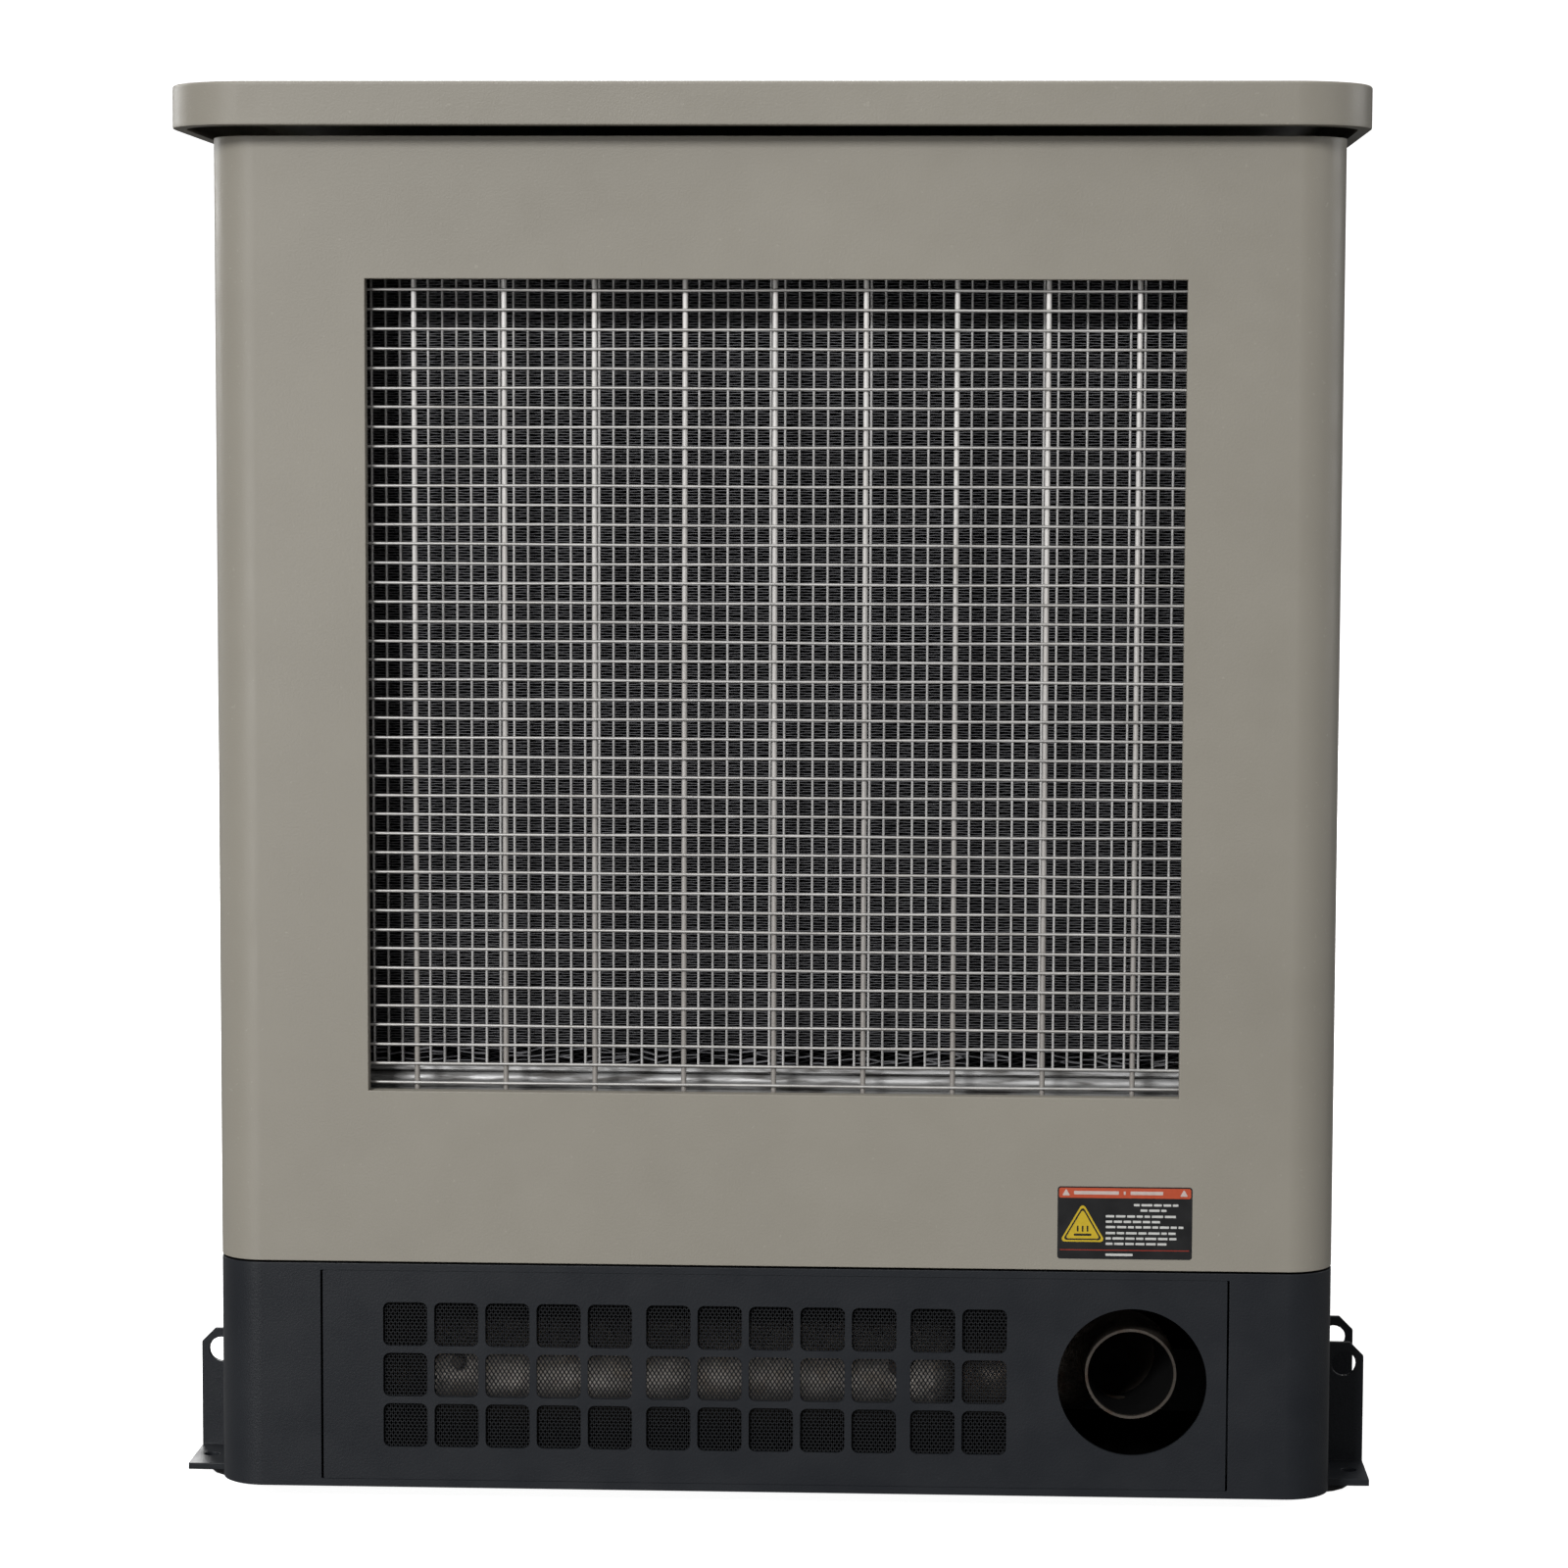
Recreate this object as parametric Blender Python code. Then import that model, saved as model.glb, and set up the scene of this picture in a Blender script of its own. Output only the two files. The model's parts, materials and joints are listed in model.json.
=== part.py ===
"""Home standby generator: a liquid-cooled set in a sheet-metal enclosure on a dark plinth.

Metres, +Z up. The origin is the middle of the footprint, on the ground. -Y is the radiator end,
which faces the viewer, +X is the viewer's right, and each moving piece has its origin on its axis.
"""

import math

import bmesh
import bpy
from mathutils import Matrix, Vector

# ---- Driving dimensions -------------------------------------------------------------------
WIDTH = 0.830            # enclosure, outside the side doors
LENGTH = 1.700           # enclosure, front sheet to rear sheet
CORNER = 0.035           # outside radius of the upright corners
SHEET = 0.002            # sheet thickness
GAP = 0.0003             # clearance between pieces that touch
SEAM = 0.0015            # visible seam between panels

PAD_TOP = 0.006          # rubber pads carry the set
FOOT_PLATE = 0.005       # thickness of the bracket plates
PLINTH_BOTTOM = 0.012
PLINTH_TOP = 0.1810
BODY_BOTTOM = 0.1825
BODY_TOP = 1.012
ROOF_BOTTOM = 1.018
ROOF_TOP = 1.050
ROOF_OVERHANG = 0.024
ROOF_SHIFT = -0.006      # the roof sits a little to the left on its hinge

HALF_W = WIDTH / 2
HALF_L = LENGTH / 2
FRONT = -HALF_L
WRAP = 0.062             # how far the end panels wrap round onto the sides
DOOR_END = HALF_L - WRAP - SEAM
DOOR_DEPTH = 0.020       # folded edge of a door
RAIL_BOTTOM = 0.985      # fixed rail above each door
DOOR_TOP = RAIL_BOTTOM - 0.002

OPENING_HALF = 0.2995    # radiator opening
OPENING_BOTTOM = 0.3106
OPENING_TOP = 0.9087
FOLD = 0.012             # inward fold round the opening

VENT_SIZE = 0.033
VENT_PITCH = 0.0382
VENT_CHAMFER = 0.005
VENT_GROUP_GAP = 0.0053  # extra gap between the groups of vents
VENT_GROUPS = (5, 5, 2)
VENT_LEFT = -0.2894
VENT_ROWS_TOP = (0.1520, 0.1137, 0.0756)
WINDOW = (-0.336, 0.338, 0.018, 0.1757)   # window in the plinth: left, right, bottom, top

OUTLET = Vector((0.267, 0, 0.0987))       # exhaust outlet, x and z
OUTLET_HOLE = 0.055
PIPE_R = 0.034
PIPE_WALL = 0.003
PIPE_RECESS = 0.0286

CRANK_Z = 0.340
FAN_Z = 0.620
ENGINE_FRONT = -0.550
ENGINE_REAR = -0.060
SHAFT_R = 0.025
PUMP_SHAFT_R = 0.012
BELT_Y = (-0.628, -0.606)


# ---- Materials ----------------------------------------------------------------------------
def material(name, colour, roughness, metallic=0.0):
    made = bpy.data.materials.new(name)
    made.use_nodes = True
    shader = made.node_tree.nodes["Principled BSDF"]
    shader.inputs["Base Color"].default_value = (*colour, 1.0)
    shader.inputs["Roughness"].default_value = roughness
    shader.inputs["Metallic"].default_value = metallic
    return made


def clear_scene():
    for old in list(bpy.data.objects):
        bpy.data.objects.remove(old, do_unlink=True)


clear_scene()
TAUPE = material("taupe_paint", (0.30, 0.28, 0.24), 0.45)
DARK = material("dark_paint", (0.035, 0.038, 0.045), 0.40)
ZINC = material("bright_wire", (0.62, 0.61, 0.60), 0.30, 1.0)
ALUMINIUM = material("aluminium", (0.55, 0.55, 0.56), 0.45, 1.0)
EXHAUST = material("exhaust_steel", (0.35, 0.32, 0.29), 0.50, 1.0)
IRON = material("engine_iron", (0.09, 0.10, 0.11), 0.55, 0.4)
RUBBER = material("rubber", (0.02, 0.02, 0.02), 0.80)
PLASTIC = material("black_plastic", (0.03, 0.03, 0.03), 0.50)
RED = material("red_plastic", (0.60, 0.02, 0.02), 0.40)


# ---- Shapes, each a bmesh -----------------------------------------------------------------
def box(x0, x1, y0, y1, z0, z1):
    shape = bmesh.new()
    size = Matrix.Diagonal((x1 - x0, y1 - y0, z1 - z0, 1))
    middle = Matrix.Translation(((x0 + x1) / 2, (y0 + y1) / 2, (z0 + z1) / 2))
    bmesh.ops.create_cube(shape, size=1.0, matrix=middle @ size)
    return shape


def along(axis, u, v, w):
    """A point from outline coordinates (u, v) and the distance w along the named axis."""
    return {"x": (w, u, v), "y": (u, w, v), "z": (u, v, w)}[axis]


def prism(outline, axis, start, end):
    shape = bmesh.new()
    corners = [shape.verts.new(along(axis, u, v, start)) for u, v in outline]
    face = shape.faces.new(corners)
    made = bmesh.ops.extrude_face_region(shape, geom=[face])["geom"]
    moved = [item for item in made if isinstance(item, bmesh.types.BMVert)]
    step = Vector(along(axis, 0, 0, end - start))
    bmesh.ops.translate(shape, verts=moved, vec=step)
    return shape


def circle(u, v, radius, steps):
    turn = math.tau / steps
    return [(u + radius * math.cos(i * turn), v + radius * math.sin(i * turn)) for i in range(steps)]


def cylinder(axis, u, v, radius, start, end, steps=16):
    return prism(circle(u, v, radius, steps), axis, start, end)


def turned(profile, u, v, steps=20, axis="y"):
    """A closed profile of (radius, distance along the axis), turned round the axis at (u, v)."""
    shape = bmesh.new()
    rings = []
    for i in range(steps):
        angle = i * math.tau / steps
        cos, sin = math.cos(angle), math.sin(angle)
        rings.append([shape.verts.new(along(axis, u + r * cos, v + r * sin, w)) for r, w in profile])
    for i, ring in enumerate(rings):
        after = rings[(i + 1) % steps]
        for j in range(len(profile)):
            k = (j + 1) % len(profile)
            shape.faces.new((ring[j], ring[k], after[k], after[j]))
    return shape


def smooth_path(points, per_span=3):
    """A Catmull-Rom curve through the points."""
    points = [Vector(p) for p in points]
    ends = [2 * points[0] - points[1], *points, 2 * points[-1] - points[-2]]
    made = []
    for a, b, c, d in zip(ends, ends[1:], ends[2:], ends[3:]):
        for i in range(per_span):
            t = i / per_span
            made.append(0.5 * (2 * b + (c - a) * t + (2 * a - 5 * b + 4 * c - d) * t * t
                               + (3 * b - a - 3 * c + d) * t ** 3))
    return [*made, points[-1]]


def nearest_axis(direction):
    largest = max(range(3), key=lambda i: abs(direction[i]))
    return Vector([math.copysign(i == largest, direction[i]) for i in range(3)])


def pipe(points, radius, wall=0.0, steps=10, per_span=3):
    """A pipe along a smooth path with its ends square to an axis, hollow if it has a wall."""
    path = smooth_path(points, per_span)
    shape = bmesh.new()
    side = None
    rings = []
    for i, here in enumerate(path):
        direction = (path[min(i + 1, len(path) - 1)] - path[max(i - 1, 0)]).normalized()
        if i in (0, len(path) - 1):
            direction = nearest_axis(direction)
        if side is None:
            side = direction.orthogonal().normalized()
        side = (side - side.dot(direction) * direction).normalized()
        up = direction.cross(side)
        turn = [side * math.cos(a * math.tau / steps) + up * math.sin(a * math.tau / steps)
                for a in range(steps)]
        rings.append([shape.verts.new(here + t * radius) for t in turn])
        if wall:
            rings[-1] += [shape.verts.new(here + t * (radius - wall)) for t in turn]
    for ring, after in zip(rings, rings[1:]):
        for j in range(steps):
            k = (j + 1) % steps
            shape.faces.new((ring[j], ring[k], after[k], after[j]))
            if wall:
                m, n = steps + j, steps + k
                shape.faces.new((after[m], after[n], ring[n], ring[m]))
    for ring in (rings[0], rings[-1]):
        if not wall:
            shape.faces.new(ring)
            continue
        for j in range(steps):
            k = (j + 1) % steps
            shape.faces.new((ring[j], ring[k], ring[steps + k], ring[steps + j]))
    return shape


def rounded(u0, u1, v0, v1, radius, steps=6):
    """The outline of a rectangle with round corners, anticlockwise."""
    made = []
    for cu, cv, start in ((u1 - radius, v1 - radius, 0), (u0 + radius, v1 - radius, 1),
                          (u0 + radius, v0 + radius, 2), (u1 - radius, v0 + radius, 3)):
        for i in range(steps + 1):
            angle = (start + i / steps) * math.pi / 2
            made.append((cu + radius * math.cos(angle), cv + radius * math.sin(angle)))
    return made


def wrap_outline(sheet, depth, inset=0.0, steps=6):
    """Plan of an end panel with its round corners and side returns, as at the front end."""
    def path(offset):
        half, front, radius = HALF_W - offset, FRONT + offset, CORNER - offset
        made = [(-half, FRONT + depth)]
        for centre, start in ((-half + radius, 2), (half - radius, 3)):
            for i in range(steps + 1):
                angle = (start + i / steps) * math.pi / 2
                made.append((centre + radius * math.cos(angle), front + radius + radius * math.sin(angle)))
        return [*made, (half, FRONT + depth)]
    return path(inset) + path(inset + sheet)[::-1]


def joined(*shapes):
    """Several shapes that don't touch, as one cutter."""
    whole = bmesh.new()
    for shape in shapes:
        mesh = bpy.data.meshes.new("piece")
        tidy(shape)
        shape.to_mesh(mesh)
        whole.from_mesh(mesh)
        shape.free()
        bpy.data.meshes.remove(mesh)
    return whole


def tidy(shape):
    bmesh.ops.recalc_face_normals(shape, faces=shape.faces)


def to_object(name, shape):
    tidy(shape)
    mesh = bpy.data.meshes.new(name)
    shape.to_mesh(mesh)
    shape.free()
    made = bpy.data.objects.new(name, mesh)
    bpy.context.scene.collection.objects.link(made)
    return made


def combine(operation, first, *others):
    """The Boolean of the shapes, applied one after another."""
    base = to_object("boolean_base", first)
    for other in others:
        tool = to_object("boolean_tool", other)
        modifier = base.modifiers.new("Boolean", "BOOLEAN")
        modifier.operation = operation
        modifier.solver = "EXACT"
        modifier.object = tool
        graph = bpy.context.evaluated_depsgraph_get()
        result = bpy.data.meshes.new_from_object(base.evaluated_get(graph))
        base.modifiers.clear()
        base.data = result
        bpy.data.objects.remove(tool)
    shape = bmesh.new()
    shape.from_mesh(base.data)
    bpy.data.objects.remove(base)
    return shape


def union(first, *others):
    return combine("UNION", first, *others)


def cut(first, *others):
    return combine("DIFFERENCE", first, *others)


def node(name, shape, finish, origin=(0, 0, 0), flip=None, round_edges=True):
    """Makes the named object, with its origin where it turns or slides. flip mirrors it in x or y."""
    if flip:
        scale = {"x": (-1, 1, 1), "y": (1, -1, 1), "xy": (-1, -1, 1)}[flip]
        bmesh.ops.scale(shape, vec=scale, verts=shape.verts)
    bmesh.ops.translate(shape, verts=shape.verts, vec=-Vector(origin))
    made = to_object(name, shape)
    made.location = origin
    made.data.materials.clear()
    made.data.materials.append(finish)
    if round_edges:
        made.data.shade_smooth()
        made.data.set_sharp_from_angle(angle=math.radians(35))
    return made


# ---- Base: skid, brackets, pads -----------------------------------------------------------
RAIL = (0.345, 0.405, PLINTH_BOTTOM, 0.072)
BRACKET_FRONT = FRONT + 0.068
LUG_FRONT = FRONT + 0.131
LUG_REAR = FRONT + 0.226
BRACKET_REAR = FRONT + 0.289
BRACKET_OUT = 0.449
LUG_TOP = 0.103
LUG_HOLE = (BRACKET_OUT - 0.0153, 0.0865, 0.0095)
PAD_R = 0.030
PAD_X = 0.412


def base_frame():
    inner, outer, low, high = RAIL
    rails = [box(side * inner, side * outer, -0.800, 0.800, low, high) for side in (-1, 1)]
    overlap = 0.004
    crossing = inner + overlap
    members = []
    for y in (-0.560, -0.080, 0.360, 0.740):
        members.append(box(-crossing, crossing, y - 0.025, y + 0.025, low + 0.004, high - 0.006))
    posts = []
    for y in (-0.560, 0.360):
        for side in (-1, 1):
            posts.append(box(side * 0.150 - 0.020, side * 0.150 + 0.020, y - 0.020, y + 0.020, 0.050, 0.1397))
    return union(rails[0], *members, rails[1], *posts)


def bracket():
    """The front right bracket: a foot plate under the rail, with two lifting lugs beside the plinth."""
    plate = box(0.350, BRACKET_OUT, BRACKET_FRONT, BRACKET_REAR, PAD_TOP + GAP, PAD_TOP + GAP + FOOT_PLATE)
    base = PAD_TOP + GAP + FOOT_PLATE / 2
    chamfer = 0.0105
    inside = HALF_W + GAP
    outline = [(inside, base), (BRACKET_OUT, base), (BRACKET_OUT, LUG_TOP - chamfer),
               (BRACKET_OUT - chamfer, LUG_TOP), (inside, LUG_TOP)]
    x, z, radius = LUG_HOLE
    lugs = []
    for y in (LUG_FRONT, LUG_REAR):
        lugs.append(prism(outline, "y", y - FOOT_PLATE / 2, y + FOOT_PLATE / 2))
    hole = cylinder("y", x, z, radius, LUG_FRONT - 0.05, LUG_REAR + 0.05, 20)
    anchors = [cylinder("z", 0.436, y, 0.006, 0, 0.02, 12) for y in (BRACKET_FRONT + 0.030, BRACKET_REAR - 0.030)]
    return cut(union(plate, *lugs), hole, *anchors)


CORNERS = (("front_right", None), ("front_left", "x"), ("rear_right", "y"), ("rear_left", "xy"))
node("base_frame", base_frame(), DARK)
for place, mirrored in CORNERS:
    node("lift_bracket_" + place, bracket(), DARK, flip=mirrored)
    pad = cylinder("z", PAD_X - 0.006, (LUG_FRONT + BRACKET_FRONT) / 2, PAD_R, 0, PAD_TOP, 20)
    node("foot_pad_" + place, pad, RUBBER, flip=mirrored)


# ---- Plinth -------------------------------------------------------------------------------
def vent_columns():
    """Left edges of the vent columns, in their groups."""
    left = VENT_LEFT
    for count in VENT_GROUPS:
        for _ in range(count):
            yield left
            left += VENT_PITCH
        left += VENT_GROUP_GAP


def octagon(u0, u1, v0, v1, c):
    return [(u0 + c, v0), (u1 - c, v0), (u1, v0 + c), (u1, v1 - c),
            (u1 - c, v1), (u0 + c, v1), (u0, v1 - c), (u0, v0 + c)]


def vent_panel():
    left, right, bottom, top = WINDOW
    front = FRONT + 0.001
    sheet = box(left + SEAM, right - SEAM, front, front + SHEET, bottom + SEAM, top - SEAM)
    vents = []
    for x in vent_columns():
        for z in VENT_ROWS_TOP:
            outline = octagon(x, x + VENT_SIZE, z - VENT_SIZE, z, VENT_CHAMFER)
            vents.append(prism(outline, "y", front - 0.01, front + 0.02))
    outlet = cylinder("y", OUTLET.x, OUTLET.z, OUTLET_HOLE, front - 0.01, front + 0.02, 28)
    return cut(sheet, joined(*vents, outlet))


def plinth_end(windowed):
    shape = prism(wrap_outline(SHEET, 0.050), "z", PLINTH_BOTTOM, PLINTH_TOP)
    left, right, bottom, top = WINDOW
    if not windowed:
        slots = []
        for i in range(9):
            x = -0.300 + i * 0.070
            slots.append(prism(rounded(x, x + 0.045, 0.060, 0.130, 0.006, 1), "y", FRONT - 0.01, FRONT + 0.01))
        port = cylinder("y", -0.355, 0.100, 0.016, FRONT - 0.01, FRONT + 0.01, 16)
        return cut(shape, joined(*slots, port))
    return cut(shape, box(left, right, FRONT - 0.01, FRONT + 0.01, bottom, top))


def side_skirt():
    end = HALF_L - 0.050 - SEAM
    return box(HALF_W - SHEET, HALF_W, -end, end, PLINTH_BOTTOM, PLINTH_TOP)


node("plinth_front", plinth_end(True), DARK)
node("plinth_rear", plinth_end(False), DARK, flip="xy")
node("vent_panel", vent_panel(), DARK)
node("vent_mesh", box(-0.300, 0.186, FRONT + 0.0035, FRONT + 0.0045, 0.030, 0.160), DARK)
node("plinth_side_right", side_skirt(), DARK)
node("plinth_side_left", side_skirt(), DARK, flip="x")


# ---- Enclosure ----------------------------------------------------------------------------
def front_panel():
    shape = prism(wrap_outline(SHEET, WRAP), "z", BODY_BOTTOM, BODY_TOP)
    half = OPENING_HALF
    grown = half + SHEET
    fold = box(-grown, grown, FRONT + SHEET / 2, FRONT + FOLD, OPENING_BOTTOM - SHEET, OPENING_TOP + SHEET)
    hole = box(-half, half, FRONT - 0.01, FRONT + 0.03, OPENING_BOTTOM, OPENING_TOP)
    return cut(union(shape, fold), hole)


def rear_panel():
    shape = prism(wrap_outline(SHEET, WRAP), "z", BODY_BOTTOM, BODY_TOP)
    slots = []
    for bank in (-0.300, 0.020):
        for i in range(11):
            z = 0.330 + i * 0.050
            slots.append(box(bank, bank + 0.280, FRONT - 0.01, FRONT + 0.01, z, z + 0.014))
    return cut(shape, joined(*slots))


def door():
    """The right door, a sheet with its edges folded in, and louvres towards the alternator end."""
    outer = box(HALF_W - DOOR_DEPTH, HALF_W, -DOOR_END, DOOR_END, BODY_BOTTOM, DOOR_TOP)
    inner = box(HALF_W - DOOR_DEPTH - 0.01, HALF_W - SHEET, -DOOR_END + SHEET, DOOR_END - SHEET,
                BODY_BOTTOM + SHEET, DOOR_TOP - SHEET)
    slots = []
    for bank in (0.080, 0.370):
        for i in range(8):
            z = 0.300 + i * 0.045
            slots.append(box(HALF_W - 0.01, HALF_W + 0.01, bank, bank + 0.240, z, z + 0.013))
    return cut(outer, inner, joined(*slots))


HINGE_X = HALF_W + 0.0045
HINGE_Y = DOOR_END + 0.0005
LATCH = Vector((HALF_W + GAP, -0.520, 0.600))


def hinge():
    return cylinder("z", HINGE_X, HINGE_Y, 0.004, 0.205, DOOR_TOP - 0.010, 10)


def latch():
    face = LATCH.x
    boss = cylinder("x", LATCH.y, LATCH.z, 0.017, face, face + 0.010, 16)
    lever = prism(rounded(LATCH.y - 0.011, LATCH.y + 0.011, LATCH.z - 0.100, LATCH.z + 0.012, 0.008, 2),
                  "x", face + 0.008, face + 0.018)
    return union(boss, lever)


def roof():
    """A tray with a turned-in lip, open below."""
    half_w, half_l = HALF_W + ROOF_OVERHANG, HALF_L + ROOF_OVERHANG
    radius = CORNER + ROOF_OVERHANG
    lip = 0.010

    def level(inset, low, high):
        outline = rounded(-half_w + inset, half_w - inset, -half_l + inset, half_l - inset, radius - inset)
        return prism([(x + ROOF_SHIFT, y) for x, y in outline], "z", low, high)
    tray = level(0, ROOF_BOTTOM, ROOF_TOP)
    return cut(tray, level(SHEET, ROOF_BOTTOM + SHEET, ROOF_TOP - SHEET), level(lip, ROOF_BOTTOM - 0.01, ROOF_TOP - 0.01))


ROOF_HINGE = Vector((-0.4255, 0, 1.0142))


def roof_hinge():
    knuckle = cylinder("y", ROOF_HINGE.x, ROOF_HINGE.z, 0.0032, -0.700, 0.700, 8)
    leaf = box(ROOF_HINGE.x, -0.372, -0.700, 0.700, BODY_TOP + GAP, BODY_TOP + GAP + 0.002)
    return union(knuckle, leaf)


def top_rail():
    end = HALF_L - CORNER - 0.001
    return box(0.362, HALF_W - SHEET - GAP, -end, end, RAIL_BOTTOM, BODY_TOP)


node("front_panel", front_panel(), TAUPE)
node("rear_panel", rear_panel(), TAUPE, flip="xy")
node("roof", roof(), TAUPE, origin=ROOF_HINGE)
node("roof_hinge", roof_hinge(), ZINC)
for side, mirrored, sign in (("right", None, 1), ("left", "x", -1)):
    node("door_" + side, door(), TAUPE, origin=(sign * HINGE_X, HINGE_Y, 0), flip=mirrored)
    node("hinge_" + side, hinge(), ZINC, flip=mirrored)
    node("latch_" + side, latch(), PLASTIC, origin=(sign * LATCH.x, LATCH.y, LATCH.z), flip=mirrored)
    node("top_rail_" + side, top_rail(), DARK, flip=mirrored)


# ---- Radiator guard -----------------------------------------------------------------------
WIRE = 0.0022
UPRIGHT = 0.0036
WIRE_COUNT = 42
WIRE_BOTTOM, WIRE_TOP = 0.3150, 0.9010
UPRIGHT_PITCH = 0.0664
GUARD_Y = FRONT + 0.0145


def slotted(across, up, hollow, axis, start, end):
    """A plate from a grid of cells, without the hollow ones."""
    shape = bmesh.new()
    corners = {}

    def corner(i, j, w):
        if (i, j, w) not in corners:
            corners[i, j, w] = shape.verts.new(along(axis, across[i], up[j], w))
        return corners[i, j, w]

    def solid(i, j):
        return 0 <= i < len(across) - 1 and 0 <= j < len(up) - 1 and not hollow(i, j)
    for i in range(len(across) - 1):
        for j in range(len(up) - 1):
            if not solid(i, j):
                continue
            for w in (start, end):
                shape.faces.new([corner(a, b, w) for a, b in ((i, j), (i + 1, j), (i + 1, j + 1), (i, j + 1))])
            for (di, dj), (a, b) in (((-1, 0), ((i, j), (i, j + 1))), ((1, 0), ((i + 1, j), (i + 1, j + 1))),
                                     ((0, -1), ((i, j), (i + 1, j))), ((0, 1), ((i, j + 1), (i + 1, j + 1)))):
                if not solid(i + di, j + dj):
                    shape.faces.new((corner(*a, start), corner(*b, start), corner(*b, end), corner(*a, end)))
    return shape


def radiator_guard():
    """Level wires on a rod at each side, upright ones on a rod above and below, joined at the corners."""
    pitch = (WIRE_TOP - WIRE_BOTTOM) / (WIRE_COUNT - 1)
    levels = []
    for i in range(WIRE_COUNT):
        z = WIRE_BOTTOM + i * pitch
        levels += [z - WIRE / 2, z + WIRE / 2]
    side, rod = 0.308, 0.004
    back = GUARD_Y + WIRE + GAP
    wires = slotted([-side, -side + rod, side - rod, side], levels, lambda i, j: i == 1 and j % 2 == 1,
                    "y", GUARD_Y, GUARD_Y + WIRE)
    edges = [-side, -side + rod]
    for i in range(9):
        x = (i - 4) * UPRIGHT_PITCH
        edges += [x - UPRIGHT / 2, x + UPRIGHT / 2]
    edges += [side - rod, side]
    bottom, top = WIRE_BOTTOM - 0.014, WIRE_TOP + 0.014
    uprights = slotted(edges, [bottom, bottom + rod, top - rod, top], lambda i, j: j == 1 and i % 2 == 1,
                       "y", back, back + UPRIGHT)
    ties = []
    for x in (-side + rod / 2, side - rod / 2):
        for z in (WIRE_BOTTOM, WIRE_TOP):
            ties.append(box(x - 0.0015, x + 0.0015, GUARD_Y + WIRE / 2, back + UPRIGHT / 2, z - 0.001, z + 0.001))
    return union(wires, *ties, uprights)


node("radiator_guard", radiator_guard(), ZINC)


# ---- Cooling ------------------------------------------------------------------------------
CORE_FRONT, CORE_REAR = FRONT + 0.060, FRONT + 0.105
CORE_BOTTOM, CORE_TOP = 0.3235, 0.930
TANK_FRONT, TANK_REAR = FRONT + 0.050, FRONT + 0.115
SHROUD_REAR = FRONT + 0.200
FAN_R = 0.240
CAP = Vector((-0.200, (TANK_FRONT + TANK_REAR) / 2, 0.9905))


def top_tank():
    tank = box(-0.325, 0.325, TANK_FRONT, TANK_REAR, CORE_TOP + GAP, 0.982)
    neck = cylinder("z", CAP.x, CAP.y, 0.022, 0.970, CAP.z - GAP, 16)
    stub = cylinder("y", 0.200, 0.957, 0.017, TANK_REAR - 0.01, TANK_REAR + 0.014, 12)
    return union(tank, neck, stub)


def bottom_tank():
    tank = box(-0.325, 0.325, TANK_FRONT, TANK_REAR, 0.262, CORE_BOTTOM - GAP)
    stub = cylinder("y", 0.240, 0.290, 0.017, TANK_REAR - 0.01, TANK_REAR + 0.014, 12)
    return union(tank, stub)


def radiator_cap():
    disc = cylinder("z", CAP.x, CAP.y, 0.030, CAP.z, CAP.z + 0.012, 20)
    grip = box(CAP.x - 0.038, CAP.x + 0.038, CAP.y - 0.007, CAP.y + 0.007, CAP.z + 0.008, CAP.z + 0.015)
    return union(disc, grip)


def fan_shroud():
    front = CORE_REAR + GAP
    shell = box(-0.312, 0.312, front, SHROUD_REAR, 0.3300, 0.9260)
    inside = box(-0.309, 0.309, front - 0.01, SHROUD_REAR - 0.003, 0.3330, 0.9230)
    ring = cylinder("y", 0, FAN_Z, FAN_R + 0.015, SHROUD_REAR - 0.01, SHROUD_REAR + 0.01, 32)
    return cut(shell, inside, ring)


def fan():
    """Six pitched blades on a hub, with the water pump's shaft."""
    middle = SHROUD_REAR - 0.012
    hub = cylinder("y", 0, FAN_Z, 0.055, middle - 0.014, middle + 0.014, 18)
    shaft = cylinder("y", 0, FAN_Z, PUMP_SHAFT_R, middle, ENGINE_FRONT - 0.004, 12)
    parts = []
    for i in range(6):
        blade = box(-0.036, 0.036, -0.0015, 0.0015, 0.045, FAN_R)
        place = (Matrix.Translation((0, middle, FAN_Z)) @ Matrix.Rotation(i * math.tau / 6, 4, "Y")
                 @ Matrix.Rotation(math.radians(28), 4, "Z"))
        bmesh.ops.transform(blade, matrix=place, verts=blade.verts)
        parts.append(blade)
    return union(hub, shaft, *parts)


def pulley(radius, bore, z):
    low, high = BELT_Y
    groove = radius - 0.006
    middle = (low + high) / 2
    profile = [(bore, low), (radius, low), (groove, middle), (radius, high), (bore, high)]
    return turned(profile, 0, z)


CRANK_PULLEY_R = 0.070
FAN_PULLEY_R = 0.058


def fan_belt():
    """The loop round both pulleys, standing clear of them."""
    def loop(grow):
        low, high = CRANK_PULLEY_R + grow, FAN_PULLEY_R + grow
        lean = math.asin((low - high) / (FAN_Z - CRANK_Z))
        outline = []
        steps = 12
        for i in range(steps + 1):
            a = math.pi - lean + (math.pi + 2 * lean) * i / steps
            outline.append((low * math.cos(a), CRANK_Z + low * math.sin(a)))
        for i in range(steps + 1):
            a = lean + (math.pi - 2 * lean) * i / steps
            outline.append((high * math.cos(a), FAN_Z + high * math.sin(a)))
        return outline
    low, high = BELT_Y
    return cut(prism(loop(0.010), "y", low + 0.004, high - 0.004), prism(loop(0.004), "y", low - 0.01, high + 0.01))


def water_pump():
    profile = [(0.0145, ENGINE_FRONT - 0.038), (0.030, ENGINE_FRONT - 0.038), (0.050, ENGINE_FRONT - 0.018),
               (0.050, ENGINE_FRONT - GAP), (0.0145, ENGINE_FRONT - GAP)]
    return turned(profile, 0, FAN_Z, 16)


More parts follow.
